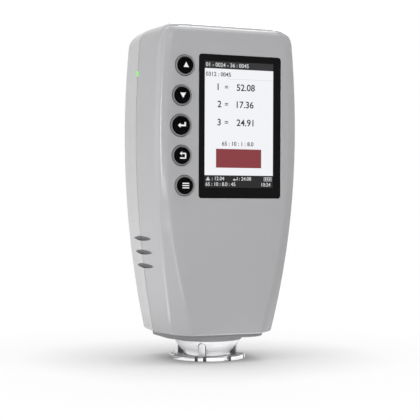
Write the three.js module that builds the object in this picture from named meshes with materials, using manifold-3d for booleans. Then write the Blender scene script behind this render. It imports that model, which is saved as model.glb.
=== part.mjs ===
// Portable colorimeter: an upright hand-held instrument that measures colour through
// an 8 mm aperture in its nose, shown standing on its clip-on locating plate.
// Millimetres, +Z up. X is the width, -Y is the side with the screen and keys.
// The origin is on the floor, under the middle of the whole instrument.

import * as THREE from "three";
import { mergeVertices } from "three/addons/utils/BufferGeometryUtils.js";
import Module from "manifold-3d";

const wasm = await Module();
wasm.setup();

// Overall casing
const bodyTop = 187.5;            // floor to the top of the casing
const bodyFloor = 15.8;           // floor to the underside of the casing
const widestDrop = 58.5;          // top of the casing to where it is widest
const seamHalfWidth = 44.05;      // half width at the seam, where widest
const seamNarrowing = 10.9;       // how much narrower each side is at the underside
const ridgeHalfWidth = 42.6;      // half width at the ridge between side and front
const ridgeNarrowing = 12.2;
const ridgeDrop = 1.4;            // ridge behind the front face, where widest
const ridgeDropGrowth = 7.1;      // how much further behind it is at the underside
const faceHalfWidth = 37;         // half width of the flat front face
const faceNarrowing = 15.8;
const rearHalfWidth = 43;         // half width at the rear corner
const rearNarrowing = 13;
const frontDepth = 29.8;          // measuring axis to the front face
const rearDepth = 28.4;           // measuring axis to the rear face
const faceEdgeRadius = 6;
const ridgeRadius = 4;
const rearCornerRadius = 8.5;
const topSideRadius = 9;          // rounding of the top corners seen from the front
const topFrontRadius = 5;         // rounding of the top edge above the screen
const topRearRadius = 8.5;
const bottomEdgeRadius = 1.2;
const wall = 2.2;
const fit = 0.3;                  // running and assembly clearance
const seamGap = 0.3;
const overrun = 1;                // how far a cutter reaches past what it cuts

// Screen
const panelDrop = 56.3;           // top of the casing to the middle of the screen and keys
const screenOffset = 6.9;         // middle of the screen, right of the axis
const windowWidth = 49.8;
const windowLength = 79.2;
const windowThickness = 1.2;
const windowRecess = 0.15;
const windowCorner = 1.6;
const windowLedge = 2;
const displayMargin = 1.6;        // glass beyond the display on each side
const displayThickness = 2.4;
const frameInset = 1;             // frame inside the display's outline
const frameThickness = 2.2;
const frameBar = 5;

// Keys
const keyNames = ["button_up", "button_down", "button_enter", "button_back", "button_menu"];
const keyPitch = 16.4;
const keyRowGap = 10.8;           // middle key, left of the glass
const keyArcRadius = 232;         // the row bends round the screen
const keyRadius = 4.3;
const enterKeyRadius = 4.8;
const keyProud = 2.2;
const keyCrown = 0.5;
const keyFlangeMargin = 0.9;
const keyFlangeThickness = 0.9;
const keyLipWidth = 1;
const keyLipHeight = 0.6;
const keyTravel = 1;
const keyBoardWidth = 11.4;
const keyBoardMargin = 6;
const keyPostRadius = 1.2;        // posts that the key board rests on, between the keys
const keyBoardShift = 3.2;        // middle of the board, right of the middle key
const boardThickness = 1.6;
const domeRadius = 2.2;
const domeHeight = 0.3;

// Main board and what stands on it
const mainBoardGap = 4;           // between the display's frame and the board
const boardSideGap = 0.6;         // between the board and the casing's sides
const boardTopGap = 4.3;
const boardClearance = 0.4;       // between the board and the shell's bosses
const boardPostInset = 2.8;
const boardPostRadius = 2.6;
const screwRadius = 1;
const screwHeadRadius = 2.3;
const screwHeadHeight = 1.6;
const boardScrewLength = 6;
const buzzerRadius = 6;
const buzzerHeight = 4.5;
const buzzerOffset = -17;
const buzzerDrop = 19;            // board's top edge to the middle of the buzzer
const shieldWidth = 26;
const shieldLength = 24;
const shieldThickness = 2.6;
const shieldDrop = 50;

// Side controls on the right, each placed by its drop from the top of the casing
const testButtonDrop = 35.5;
const testButtonLength = 17;
const testButtonWidth = 8;
const testButtonProud = 0.7;
const testButtonFlange = 1.2;
const testFlangeMargin = 0.9;
const testButtonTravel = 1.2;
const testButtonStem = 2.4;
const testSwitchWidth = 6.4;
const testSwitchDepth = 5.2;
const powerDrop = 65.5;
const powerKnobLength = 7;
const powerKnobWidth = 3.6;
const powerKnobProud = 0.7;
const powerKnobFoot = 1.2;
const powerFootMargin = 0.6;
const powerFootGap = 0.9;         // between the knob's foot and the wall
const powerTravel = 4;
const powerBodyDepth = 6;
const powerBodyHeight = 5;
const portDrop = 87.5;
const portLength = 9;
const portThickness = 3.2;
const portReach = 10;
const portRecess = 0.8;
const portSkin = 0.5;

// Status light in the seam on the left
const lightDrop = 26.1;
const lightSize = 3;
const lightLeg = 2;

// Grip grooves across the seam
const grooveCount = 3;
const grooveTopRise = 53.1;       // casing's underside to the uppermost groove
const groovePitch = 7.7;
const grooveLength = 30;
const grooveWidth = 2.8;
const grooveDepth = 1.2;
const grooveForward = 1;          // middle of a groove, ahead of the seam

// Screws that hold the two shells together
const shellBossRadius = 4;
const shellScrewHoleRadius = 1.5;
const shellScrewShaftRadius = 1.2;
const shellScrewHeadRadius = 2.4;
const shellScrewSinkRadius = 2.7;
const shellScrewSeat = 8.4;       // seat of the head, behind the seam
const shellScrewLength = 28;
const upperScrewHalfSpan = 20;
const bossClearance = 2.4;        // between the upper bosses and what is below them
const lowerScrewHalfSpan = 27;
const lowerScrewRise = 49.7;

// Battery bay in the rear shell
const bayDrop = 53.5;
const batteryWidth = 38;
const batteryLength = 60;
const batteryThickness = 15;
const trayWall = 1.5;
const trayDepth = 18;
const coverSideLap = 4.7;         // cover beyond the bay
const coverTopLap = 1.9;
const coverTab = 12.5;            // room for the screw below the bay
const coverThickness = 1.6;
const coverCorner = 4;
const coverScrewInset = 3.8;
const coverScrewSink = 1;
const coverScrewHeadHeight = 0.9;
const coverBossRadius = 3.2;
const coverBossDepth = 4;
const coverScrewLength = 5;

// Optics
const sphereFloorGap = 0.5;       // between the chassis and the sphere
const sphereColumnGap = 2.11;     // between the columns and the sphere
const sphereWall = 2.5;
const flangeMargin = 4;           // flange beyond the columns
const flangeThickness = 2;
const flangeCorner = 5;
const columnSideInset = 5.2;      // base plate's spigot to the columns
const columnEndInset = 4.4;
const columnRadius = 3;
const chassisLap = 1.5;           // chassis beyond the opening in the casing's floor
const chassisThickness = 2.5;
const chassisCorner = 10;
const neckRadius = 11.7;
const portBore = 7;
const headBossRadius = 9;
const headBossHeight = 2;
const tubeRadius = 4.5;
const tubeBore = 3;
const tubeLength = 17;
const lightBoardRadius = 15.5;
const detectorHalfWidth = 14;
const detectorBack = 8;
const detectorHeight = 13;

// Base and nose
const baseThickness = 2.7;
const baseHalfWidth = 29.2;
const baseHalfDepth = 22.4;
const baseCorner = 13;
const spigotInset = 3.5;
const spigotCorner = 8;
const baseBore = 16.3;
const baseScrewHeadHeight = 1.8;
const baseScrewLength = 15;
const collarRadius = 19.8;
const collarThickness = 2.1;
const collarSpigot = 3.4;
const coneTopRadius = 19.3;
const coneBottomHeight = 3.2;
const coneBottomRadius = 12.6;
const coneShoulderRadius = 13.6;
const coneShoulderRise = 0.7;
const coneWaistRadius = 15.8;
const coneWaistRise = 2.9;
const coneBellyRadius = 17.6;
const coneBellyRise = 5.3;
const coneNeckRise = 5;
const coneNeckRadius = 12.4;
const coneBore = 8;
const coneLipRadius = 5.5;
const coneLipThickness = 1.2;
const apertureRadius = 4;
const apertureThickness = 1.2;

// Locating plate
const plateRadius = 21.7;
const plateInnerRadius = 14.5;
const plateThickness = 2.65;
const plateEdge = 0.4;
const plateTurn = 56.8;           // degrees that the clips stand round from +X
const clipCount = 4;
const clipOuterRadius = 17;
const clipInnerRadius = 13.6;
const clipWidth = 3.9;
const clipHeadroom = 1.1;         // between the clips and the collar
const clipNotchWidth = 6.6;
const clipTongueWidth = 3;
const clipNotchDepth = 2.6;
const notchWidth = 4.8;
const notchDepth = 2.2;
const notchTurn = 42;             // degrees from a clip to the plain notch beside it

// Roundness
const fineSegments = 40;
const roundSegments = 20;
const smallSegments = 10;
const cornerSegments = 3;
const topSteps = 4;

// Places that follow from the sizes above
const widestHeight = bodyTop - widestDrop;
const innerFront = frontDepth - wall;
const innerRear = rearDepth - wall;
const innerFloor = bodyFloor + wall;
const innerTop = bodyTop - wall;
const baseUnderside = bodyFloor - baseThickness;
const collarUnderside = baseUnderside - collarThickness;
const windowBack = frontDepth - windowRecess - windowThickness;
const panelHeight = bodyTop - panelDrop;
const displayWidth = windowWidth - displayMargin * 2;
const displayLength = windowLength - displayMargin * 2;
const displayBack = innerFront - displayThickness;
const frameHalfWidth = displayWidth / 2 - frameInset;
const frameHalfLength = displayLength / 2 - frameInset;
const frameBack = displayBack - frameThickness;
const mainBoardFront = frameBack - mainBoardGap;
const mainBoardBack = mainBoardFront - boardThickness;
const keyRowX = screenOffset - windowWidth / 2 - keyRowGap;
const keyBoardHalfLength = keyPitch * (keyNames.length - 1) / 2 + keyBoardMargin;
const panelReach = Math.max(displayLength / 2, keyBoardHalfLength);
const upperScrewHeight = panelHeight + panelReach + bossClearance + shellBossRadius;
const lowerScrewHeight = bodyFloor + lowerScrewRise;
const mainBoardTop = innerTop - boardTopGap;
const mainBoardBottom = lowerScrewHeight + shellBossRadius + boardClearance;
const mainBoardMiddle = (mainBoardTop + mainBoardBottom) / 2;
// How far the right-hand controls lie ahead of the seam: each stands on the main board
const testAhead = mainBoardBack - testSwitchDepth / 2;
const powerAhead = mainBoardBack - powerBodyHeight / 2;
const portAhead = mainBoardBack - portThickness / 2;
const testButtonHeight = bodyTop - testButtonDrop;
const testFlangeReach = testButtonWidth / 2 + testFlangeMargin;
const testFlangeRise = testButtonLength / 2 + testFlangeMargin;
const testFlangeOuter = roomBetween(testButtonHeight - testFlangeRise,
  testButtonHeight + testFlangeRise, testAhead - testFlangeReach, testAhead + testFlangeReach) - fit;
const testFlangeInner = testFlangeOuter - testButtonFlange;
const boardRoom = roomBetween(mainBoardBottom, mainBoardTop, mainBoardBack, mainBoardFront);
const mainBoardHalfWidth = Math.min(boardRoom, testFlangeInner - testButtonTravel) - boardSideGap;
const boardPostSpan = mainBoardHalfWidth - boardPostInset;
const keyFlangeFront = innerFront - fit;
const keyFlangeBack = keyFlangeFront - keyFlangeThickness;
const domeFront = keyFlangeBack - keyTravel - fit;
const keyBoardFront = domeFront - domeHeight;
const chassisTop = innerFloor + chassisThickness;
const powerHeight = bodyTop - powerDrop;
const portHeight = bodyTop - portDrop;
const lightHeight = bodyTop - lightDrop;
const grooveTopHeight = bodyFloor + grooveTopRise;
const bayHeight = bodyTop - bayDrop;
const bayHalfWidth = batteryWidth / 2 + fit;
const bayHalfLength = batteryLength / 2 + fit;
const coverHalfWidth = bayHalfWidth + coverSideLap;
const coverHalfLength = bayHalfLength + (coverTopLap + coverTab) / 2;
const coverMiddle = bayHeight + (coverTopLap - coverTab) / 2;
const coverScrewHeight = coverMiddle - coverHalfLength + coverScrewInset;
const coverFloor = rearDepth - coverThickness;
const coverHeadSeat = rearDepth - coverScrewSink;
const spigotHalfWidth = baseHalfWidth - spigotInset;
const spigotHalfDepth = baseHalfDepth - spigotInset;
const chassisHalfWidth = spigotHalfWidth + chassisLap;
const chassisHalfDepth = spigotHalfDepth + chassisLap;
const columnHalfSpan = spigotHalfWidth - columnSideInset;
const columnHalfDepth = spigotHalfDepth - columnEndInset;
const columnReach = Math.hypot(columnHalfSpan, columnHalfDepth);
const flangeHalfWidth = columnHalfSpan + flangeMargin;
const flangeHalfDepth = columnHalfDepth + flangeMargin;
const sphereRadius = columnReach - columnRadius - sphereColumnGap;
const sphereCentre = chassisTop + sphereFloorGap + sphereRadius;
const flangeUnderside = sphereCentre - flangeThickness;
const sphereTop = sphereCentre + sphereRadius + headBossHeight;
const tubeBottom = sphereTop - headBossHeight;
const tubeTop = tubeBottom + tubeLength;
const coneNeckTop = collarUnderside + coneNeckRise;
const collarBore = coneNeckRadius + fit;
const collarSpigotRadius = baseBore - fit;
const clipTop = collarUnderside - clipHeadroom;
const sideCutStart = seamHalfWidth / 2;
const sideReach = seamHalfWidth + overrun;
const frontReach = frontDepth + keyProud;
const depthShift = (frontReach - rearDepth) / 2;

// Each share places one ring of the casing between its underside and its widest height
const lowerRingShares = [0.14, 0.28, 0.42, 0.58, 0.78, 1];
const upperRingShares = [0.55, 1];
const bottomEdgeShares = [0.3, 1];

// Geometry tools

function weld(geometry) {
  const bare = geometry.index ? geometry : mergeVertices(geometry);
  bare.deleteAttribute("normal");
  bare.deleteAttribute("uv");
  const merged = mergeVertices(bare, 1e-4);
  const position = merged.attributes.position;
  const source = merged.index.array;
  const kept = [];
  let volume = 0;
  const a = new THREE.Vector3();
  const b = new THREE.Vector3();
  const c = new THREE.Vector3();
  for (let i = 0; i < source.length; i += 3) {
    const [p, q, r] = [source[i], source[i + 1], source[i + 2]];
    if (p === q || q === r || r === p) continue;
    kept.push(p, q, r);
    a.fromBufferAttribute(position, p);
    b.fromBufferAttribute(position, q);
    c.fromBufferAttribute(position, r);
    volume += a.dot(b.cross(c));
  }
  if (volume < 0) kept.reverse();
  merged.setIndex(kept);
  return merged;
}

function solid(geometry) {
  const closed = weld(geometry);
  return new wasm.Manifold(new wasm.Mesh({
    numProp: 3,
    vertProperties: new Float32Array(closed.attributes.position.array),
    triVerts: new Uint32Array(closed.index.array),
  }));
}

function surface(body) {
  const mesh = body.getMesh();
  const geometry = new THREE.BufferGeometry();
  geometry.setAttribute("position", new THREE.BufferAttribute(mesh.vertProperties, 3));
  geometry.setIndex(new THREE.BufferAttribute(mesh.triVerts, 1));
  return geometry;
}

function joined(bodies) {
  return bodies.reduce((whole, piece) => whole.add(piece));
}

function cutBy(body, cutters) {
  return cutters.reduce((left, cutter) => left.subtract(cutter), body);
}

// A block between two corners
function block(x0, x1, y0, y1, z0, z1) {
  const geometry = new THREE.BoxGeometry(x1 - x0, y1 - y0, z1 - z0);
  geometry.translate((x0 + x1) / 2, (y0 + y1) / 2, (z0 + z1) / 2);
  return solid(geometry);
}

// A round bar along X, Y or Z from one end to the other; u and v are its other two places
function bar(axis, radius, from, to, u, v, segments = smallSegments) {
  const geometry = new THREE.CylinderGeometry(radius, radius, to - from, segments);
  const middle = (from + to) / 2;
  if (axis === "x") geometry.rotateZ(Math.PI / 2).translate(middle, u, v);
  if (axis === "y") geometry.translate(u, middle, v);
  if (axis === "z") geometry.rotateX(Math.PI / 2).translate(u, v, middle);
  return solid(geometry);
}

// A profile of [radius, place] pairs turned round the Z axis
function turned(profile, segments = fineSegments) {
  const points = profile.map(([radius, height]) => new THREE.Vector2(radius, height));
  const geometry = new THREE.LatheGeometry(points, segments);
  geometry.rotateX(Math.PI / 2);
  return solid(geometry);
}

function roundedOutline(halfWidth, halfLength, radius) {
  const shape = new THREE.Shape();
  const turns = [[1, -1, -Math.PI / 2], [1, 1, 0], [-1, 1, Math.PI / 2], [-1, -1, Math.PI]];
  for (const [sideX, sideY, start] of turns) {
    const centreX = sideX * (halfWidth - radius);
    const centreY = sideY * (halfLength - radius);
    shape.absarc(centreX, centreY, radius, start, start + Math.PI / 2, false);
  }
  return shape;
}

// A plate with round corners lying flat, from z0 to z1
function flatPlate(halfWidth, halfLength, radius, z0, z1) {
  const outline = roundedOutline(halfWidth, halfLength, radius);
  const geometry = new THREE.ExtrudeGeometry(outline, {
    depth: z1 - z0, bevelEnabled: false, curveSegments: cornerSegments * 2,
  });
  geometry.translate(0, 0, z0);
  return solid(geometry);
}

// A plate with round corners standing across Y, from y0 to y1
function uprightPlate(halfWidth, halfLength, radius, x, z, y0, y1) {
  const outline = roundedOutline(halfWidth, halfLength, radius);
  const geometry = new THREE.ExtrudeGeometry(outline, {
    depth: y1 - y0, bevelEnabled: false, curveSegments: cornerSegments,
  });
  geometry.rotateX(Math.PI / 2).translate(x, y1, z);
  return solid(geometry);
}

// A plate with round corners standing across X, from x0 to x1
function sidePlate(halfDepth, halfLength, radius, y, z, x0, x1) {
  const outline = roundedOutline(halfDepth, halfLength, radius);
  const geometry = new THREE.ExtrudeGeometry(outline, {
    depth: x1 - x0, bevelEnabled: false, curveSegments: cornerSegments,
  });
  geometry.rotateX(Math.PI / 2).rotateZ(Math.PI / 2).translate(x0, y, z);
  return solid(geometry);
}

// Rings of points, one above the other, joined into a closed skin
function loft(rings) {
  const count = rings[0].length;
  const positions = rings.flat(2);
  const index = [];
  for (let ring = 0; ring + 1 < rings.length; ring += 1) {
    for (let i = 0; i < count; i += 1) {
      const next = (i + 1) % count;
      const [a, b] = [ring * count + i, ring * count + next];
      const [c, d] = [a + count, b + count];
      index.push(a, b, d, a, d, c);
    }
  }
  const top = (rings.length - 1) * count;
  for (let i = 1; i + 1 < count; i += 1) {
    index.push(0, i + 1, i);
    index.push(top, top + i, top + i + 1);
  }
  const geometry = new THREE.BufferGeometry();
  geometry.setAttribute("position", new THREE.Float32BufferAttribute(positions, 3));
  geometry.setIndex(index);
  return solid(geometry);
}

// The casing's cross-section

// Replaces a corner by an arc of the given radius
function roundedCorner(before, corner, after, radius, steps) {
  const into = new THREE.Vector2().subVectors(before, corner).normalize();
  const out = new THREE.Vector2().subVectors(after, corner).normalize();
  const half = into.angleTo(out) / 2;
  const bisector = new THREE.Vector2().addVectors(into, out).normalize();
  const centre = corner.clone().addScaledVector(bisector, radius / Math.sin(half));
  const start = corner.clone().addScaledVector(into, radius / Math.tan(half)).sub(centre);
  const end = corner.clone().addScaledVector(out, radius / Math.tan(half)).sub(centre);
  const sweep = Math.atan2(start.cross(end), start.dot(end));
  const points = [];
  for (let i = 0; i <= steps; i += 1) {
    points.push(start.clone().rotateAround(new THREE.Vector2(), sweep * i / steps).add(centre));
  }
  return points;
}

function taperAt(height) {
  const share = (height - widestHeight) / (widestHeight - bodyFloor);
  return share * share;
}

function edgeInset(distance, radius) {
  if (distance >= radius) return 0;
  const gap = radius - Math.max(distance, 0);
  return radius - Math.sqrt(radius * radius - gap * gap);
}

// One ring of the casing at a height; inset is 0 outside and the wall inside
function ring(height, inset) {
  const taper = taperAt(height);
  const belowTop = bodyTop - inset - height;
  const aboveFloor = height - bodyFloor - inset;
  const low = inset > 0 ? 0 : edgeInset(aboveFloor, bottomEdgeRadius);
  const narrow = inset + low + edgeInset(belowTop, topSideRadius - inset);
  const front = frontDepth - inset - low - edgeInset(belowTop, topFrontRadius - inset);
  const rear = rearDepth - inset - low - edgeInset(belowTop, topRearRadius - inset);
  const drop = ridgeDrop + (height < widestHeight ? ridgeDropGrowth * taper : 0);
  const seam = new THREE.Vector2(seamHalfWidth - seamNarrowing * taper - narrow, 0);
  const ridge = new THREE.Vector2(ridgeHalfWidth - ridgeNarrowing * taper - narrow, drop - front);
  const face = new THREE.Vector2(faceHalfWidth - faceNarrowing * taper - narrow, -front);
  const corner = new THREE.Vector2(rearHalfWidth - rearNarrowing * taper - narrow, rear);
  const middleFront = new THREE.Vector2(0, -front);
  const middleRear = new THREE.Vector2(0, rear);
  const right = [
    ...roundedCorner(middleFront, face, ridge, faceEdgeRadius, 2),
    ...roundedCorner(face, ridge, seam, ridgeRadius - inset / 2, 4),
    seam,
    ...roundedCorner(seam, corner, middleRear, rearCornerRadius - inset, 5),
  ];
  const left = right.map((point) => new THREE.Vector2(-point.x, point.y)).reverse();
  return [...right, ...left].map((point) => [point.x, point.y, height]);
}

function casingHeights(inset) {
  const floor = bodyFloor + inset;
  const top = bodyTop - inset;
  const heights = [floor];
  if (inset === 0) {
    for (const share of bottomEdgeShares) heights.push(floor + bottomEdgeRadius * share);
  }
  const straight = heights[heights.length - 1];
  for (const share of lowerRingShares) {
    heights.push(straight + (widestHeight - straight) * share);
  }
  const turn = top - (topSideRadius - inset);
  for (const share of upperRingShares) {
    heights.push(widestHeight + (turn - widestHeight) * share);
  }
  for (let i = 1; i <= topSteps; i += 1) {
    const angle = (Math.PI / 2) * (i / topSteps);
    heights.push(turn + (topSideRadius - inset) * Math.sin(angle));
  }
  return heights;
}

function casing(inset) {
  return loft(casingHeights(inset).map((height) => ring(height, inset)));
}

// Half width of the casing's side, outside, at a height and a distance ahead of the seam
function sideAt(height, ahead) {
  const taper = taperAt(height);
  const seam = seamHalfWidth - seamNarrowing * taper;
  const ridge = ridgeHalfWidth - ridgeNarrowing * taper;
  const drop = ridgeDrop + (height < widestHeight ? ridgeDropGrowth * taper : 0);
  return seam + (ridge - seam) * (ahead / (frontDepth - drop));
}

// Half width inside the casing where it is narrowest, over a stretch of its height and depth
function roomBetween(lowest, highest, rearmost, foremost) {
  const corners = [lowest, highest].flatMap((height) =>
    [rearmost, foremost].map((ahead) => sideAt(height, ahead)));
  return Math.min(...corners) - wall;
}

// Materials
function material(color, roughness, metalness = 0) {
  return new THREE.MeshStandardMaterial({ color, roughness, metalness });
}
const greyPlastic = material(0xb1b1b3, 0.45);
const darkPlastic = material(0x6e6e70, 0.5);
const palePlastic = material(0xc9c9cb, 0.5);
const whiteResin = material(0xf0f0f2, 0.4);
const keyRubber = material(0x111112, 0.35);
const blackGlass = material(0x0c0c0e, 0.08);
const displayGlass = material(0xe9ebf0, 0.25);
const blackPlastic = material(0x1c1c1e, 0.55);
const circuitBoard = material(0x1f5a3a, 0.5);
const brightSteel = material(0xd0d0d2, 0.15, 1);
const screwSteel = material(0x8e8f92, 0.3, 1);
const aluminium = material(0xa8aaad, 0.4, 1);
const sphereWhite = material(0xf6f6f4, 0.9);
const batteryWrap = material(0x2c4c86, 0.4);
const greenLight = material(0x7cf35c, 0.3);

const colorimeter = new THREE.Group();
colorimeter.name = "portable_colorimeter";
colorimeter.position.y = depthShift;

function addNode(name, body, look) {
  const mesh = new THREE.Mesh(surface(body), look);
  mesh.name = name;
  colorimeter.add(mesh);
  return mesh;
}

// Keys: five on an arc, the middle one larger
const keys = keyNames.map((name, i) => {
  const rise = ((keyNames.length - 1) / 2 - i) * keyPitch;
  const sag = keyArcRadius - Math.sqrt(keyArcRadius * keyArcRadius - rise * rise);
  return {
    name,
    x: keyRowX + sag,
    z: panelHeight + rise,
    radius: name === "button_enter" ? enterKeyRadius : keyRadius,
  };
});

// Posts under the key board, midway between neighbouring keys
const keyPosts = keys.slice(1).map((key, i) => ({
  x: (key.x + keys[i].x) / 2,
  z: (key.z + keys[i].z) / 2,
}));

// Screws between the shells
const shellScrews = [
  { name: "shell_screw_upper_left", x: -upperScrewHalfSpan, z: upperScrewHeight },
  { name: "shell_screw_upper_right", x: upperScrewHalfSpan, z: upperScrewHeight },
  { name: "shell_screw_lower_left", x: -lowerScrewHalfSpan, z: lowerScrewHeight },
  { name: "shell_screw_lower_right", x: lowerScrewHalfSpan, z: lowerScrewHeight },
];

// Posts and screws of the main board
const boardScrews = [
  { name: "board_screw_upper_left", x: -boardPostSpan, z: mainBoardTop - boardPostInset },
  { name: "board_screw_upper_right", x: boardPostSpan, z: mainBoardTop - boardPostInset },
  { name: "board_screw_lower_left", x: -boardPostSpan, z: mainBoardBottom + boardPostInset },
  { name: "board_screw_lower_right", x: boardPostSpan, z: mainBoardBottom + boardPostInset },
];

// A round form turned about an axis that faces forwards: [radius, place ahead] pairs
function facingFront(profile, x, z, segments) {
  const points = profile.map(([radius, ahead]) => new THREE.Vector2(radius, ahead));
  const geometry = new THREE.LatheGeometry(points, segments);
  geometry.rotateZ(Math.PI).translate(x, 0, z);
  return solid(geometry);
}

function grooveCutters() {
  const cutters = [];
  for (let i = 0; i < grooveCount; i += 1) {
    const height = grooveTopHeight - i * groovePitch;
    for (const side of [-1, 1]) {
      const geometry = new THREE.SphereGeometry(1, smallSegments, smallSegments / 2);
      geometry.rotateX(Math.PI / 2);
      geometry.scale(grooveDepth, grooveLength / 2, grooveWidth / 2);
      geometry.translate(side * sideAt(height, grooveForward), -grooveForward, height);
      cutters.push(solid(geometry));
    }
  }
  return cutters;
}

function lightCutter() {
  const half = lightSize / 2 + fit;
  return block(-sideReach, -sideCutStart, -half, half, lightHeight - half, lightHeight + half);
}

function frontShell(skin) {
  const beyond = frontDepth + overrun;
  const half = block(-sideReach, sideReach, -beyond, -seamGap / 2, 0, bodyTop + overrun);
  const bosses = shellScrews.map(({ x, z }) =>
    bar("y", shellBossRadius, -innerFront - overrun, -seamGap / 2, x, z));
  const posts = boardScrews.map(({ x, z }) =>
    bar("y", boardPostRadius, -innerFront - overrun, -mainBoardFront, x, z));
  const boardRests = keyPosts.map(({ x, z }) =>
    bar("y", keyPostRadius, -innerFront - overrun, -keyBoardFront, x, z));
  const lips = keys.map(({ x, z, radius }) => {
    const inner = radius + fit;
    const outer = inner + keyLipWidth;
    const crest = frontDepth + keyLipHeight;
    return facingFront([
      [0, frontDepth - wall / 2], [outer, frontDepth - wall / 2], [outer, frontDepth],
      [outer - keyLipWidth / 2, crest], [0, crest],
    ], x, z, roundSegments);
  });
  const keyHoles = keys.map(({ x, z, radius }) =>
    bar("y", radius + fit, -beyond, -innerFront + overrun, x, z, roundSegments));
  const pocket = uprightPlate(windowWidth / 2 + fit, windowLength / 2 + fit, windowCorner + fit,
    screenOffset, panelHeight, -beyond, -windowBack);
  const sight = uprightPlate(windowWidth / 2 - windowLedge, windowLength / 2 - windowLedge,
    windowCorner, screenOffset, panelHeight, -beyond, -innerFront + overrun);
  const screwHoles = shellScrews.map(({ x, z }) =>
    bar("y", shellScrewHoleRadius, shellScrewSeat - shellScrewLength, overrun, x, z));
  const postHoles = boardScrews.map(({ x, z }) =>
    bar("y", screwRadius + fit, -mainBoardBack - boardScrewLength - fit, 0, x, z));
  const testHole = sidePlate(testButtonWidth / 2 + fit, testButtonLength / 2 + fit,
    testButtonWidth / 2 + fit, -testAhead, testButtonHeight, sideCutStart, sideReach);
  const slotHalfLength = (powerKnobLength + powerTravel) / 2 + fit;
  const slot = sidePlate(powerKnobWidth / 2 + fit, slotHalfLength, powerKnobWidth / 2 + fit,
    -powerAhead, powerHeight, sideCutStart, sideReach);
  const port = sidePlate(portThickness / 2 + fit, portLength / 2 + fit, portThickness / 2,
    -portAhead, portHeight, sideCutStart, sideReach);
  const outside = casing(0);
  const inside = [...bosses, ...posts, ...boardRests].map((post) => post.intersect(outside));
  const shell = joined([skin, ...lips, ...inside]).intersect(half);
  return cutBy(shell, [...keyHoles, pocket, sight, ...screwHoles, ...postHoles, testHole, slot,
    port, bottomOpening(), lightCutter(), ...grooveCutters()]);
}

function bottomOpening() {
  return flatPlate(spigotHalfWidth + fit, spigotHalfDepth + fit, spigotCorner + fit,
    bodyFloor - overrun, innerFloor + overrun);
}

function rearShell(skin) {
  const beyond = rearDepth + overrun;
  const half = block(-sideReach, sideReach, seamGap / 2, beyond, 0, bodyTop + overrun);
  const bosses = shellScrews.map(({ x, z }) =>
    bar("y", shellBossRadius, seamGap / 2, innerRear + overrun, x, z));
  const coverBoss = bar("y", coverBossRadius, innerRear - coverBossDepth, coverFloor, 0,
    coverScrewHeight);
  const sinks = shellScrews.map(({ x, z }) =>
    bar("y", shellScrewSinkRadius, shellScrewSeat, beyond, x, z));
  const holes = shellScrews.map(({ x, z }) =>
    bar("y", shellScrewHoleRadius, -overrun, rearDepth, x, z));
  const recess = uprightPlate(coverHalfWidth + fit, coverHalfLength + fit, coverCorner + fit,
    0, coverMiddle, coverFloor, beyond);
  const bay = uprightPlate(bayHalfWidth, bayHalfLength, coverCorner, 0, bayHeight,
    innerRear - overrun, beyond);
  const coverHole = bar("y", screwRadius + fit, rearDepth - coverScrewLength - fit, beyond, 0,
    coverScrewHeight);
  const outside = casing(0);
  const shell = joined([skin, ...bosses.map((boss) => boss.intersect(outside)), coverBoss])
    .intersect(half);
  return cutBy(shell, [...sinks, ...holes, recess, bay, coverHole, bottomOpening(),
    lightCutter(), ...grooveCutters()]);
}

const hull = casing(0).subtract(casing(wall));
addNode("front_shell", frontShell(hull), greyPlastic);
addNode("rear_shell", rearShell(hull), greyPlastic);

// Screen: window, display and the frame behind it
addNode("screen_window", uprightPlate(windowWidth / 2, windowLength / 2, windowCorner,
  screenOffset, panelHeight, -windowBack - windowThickness, -windowBack), blackGlass);
addNode("display_panel", uprightPlate(displayWidth / 2, displayLength / 2, windowCorner,
  screenOffset, panelHeight, -innerFront, -displayBack), displayGlass);
addNode("display_frame", cutBy(
  uprightPlate(frameHalfWidth, frameHalfLength, windowCorner, screenOffset, panelHeight,
    -displayBack, -frameBack),
  [uprightPlate(frameHalfWidth - frameBar, frameHalfLength - frameBar, windowCorner,
    screenOffset, panelHeight, -displayBack - overrun, -frameBack + overrun)]), blackPlastic);

// Keys and their board
for (const { name, x, z, radius } of keys) {
  const flange = radius + keyFlangeMargin;
  const top = frontDepth + keyProud;
  addNode(name, facingFront([
    [0, keyFlangeBack], [flange, keyFlangeBack], [flange, keyFlangeFront],
    [radius, keyFlangeFront], [radius, top - keyCrown * 2], [radius - keyCrown / 2, top - keyCrown],
    [radius - keyCrown * 2, top - keyCrown / 4], [0, top],
  ], x, z, roundSegments), keyRubber);
}
addNode("key_board", joined([
  uprightPlate(keyBoardWidth / 2, keyBoardHalfLength, windowCorner, keyRowX + keyBoardShift,
    panelHeight, -keyBoardFront, -keyBoardFront + boardThickness),
  ...keys.map(({ x, z }) => bar("y", domeRadius, -domeFront, -keyBoardFront + domeHeight, x, z)),
]), circuitBoard);

// Main board with its screws, buzzer and shield can
addNode("main_board", cutBy(
  uprightPlate(mainBoardHalfWidth, (mainBoardTop - mainBoardBottom) / 2, windowCorner, 0,
    mainBoardMiddle, -mainBoardFront, -mainBoardBack),
  [...boardScrews.map(({ x, z }) => bar("y", screwRadius + fit, -mainBoardFront - overrun,
    -mainBoardBack + overrun, x, z)),
  ...shellScrews.map(({ x, z }) => bar("y", shellBossRadius + boardClearance,
    -mainBoardFront - overrun, -mainBoardBack + overrun, x, z))]), circuitBoard);
for (const { name, x, z } of boardScrews) {
  addNode(name, joined([
    bar("y", screwHeadRadius, -mainBoardBack, -mainBoardBack + screwHeadHeight, x, z),
    bar("y", screwRadius, -mainBoardBack - boardScrewLength, -mainBoardBack + screwHeadHeight / 2,
      x, z),
  ]), screwSteel);
}
addNode("buzzer", bar("y", buzzerRadius, -mainBoardBack, -mainBoardBack + buzzerHeight,
  buzzerOffset, mainBoardTop - buzzerDrop, roundSegments), blackPlastic);
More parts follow.
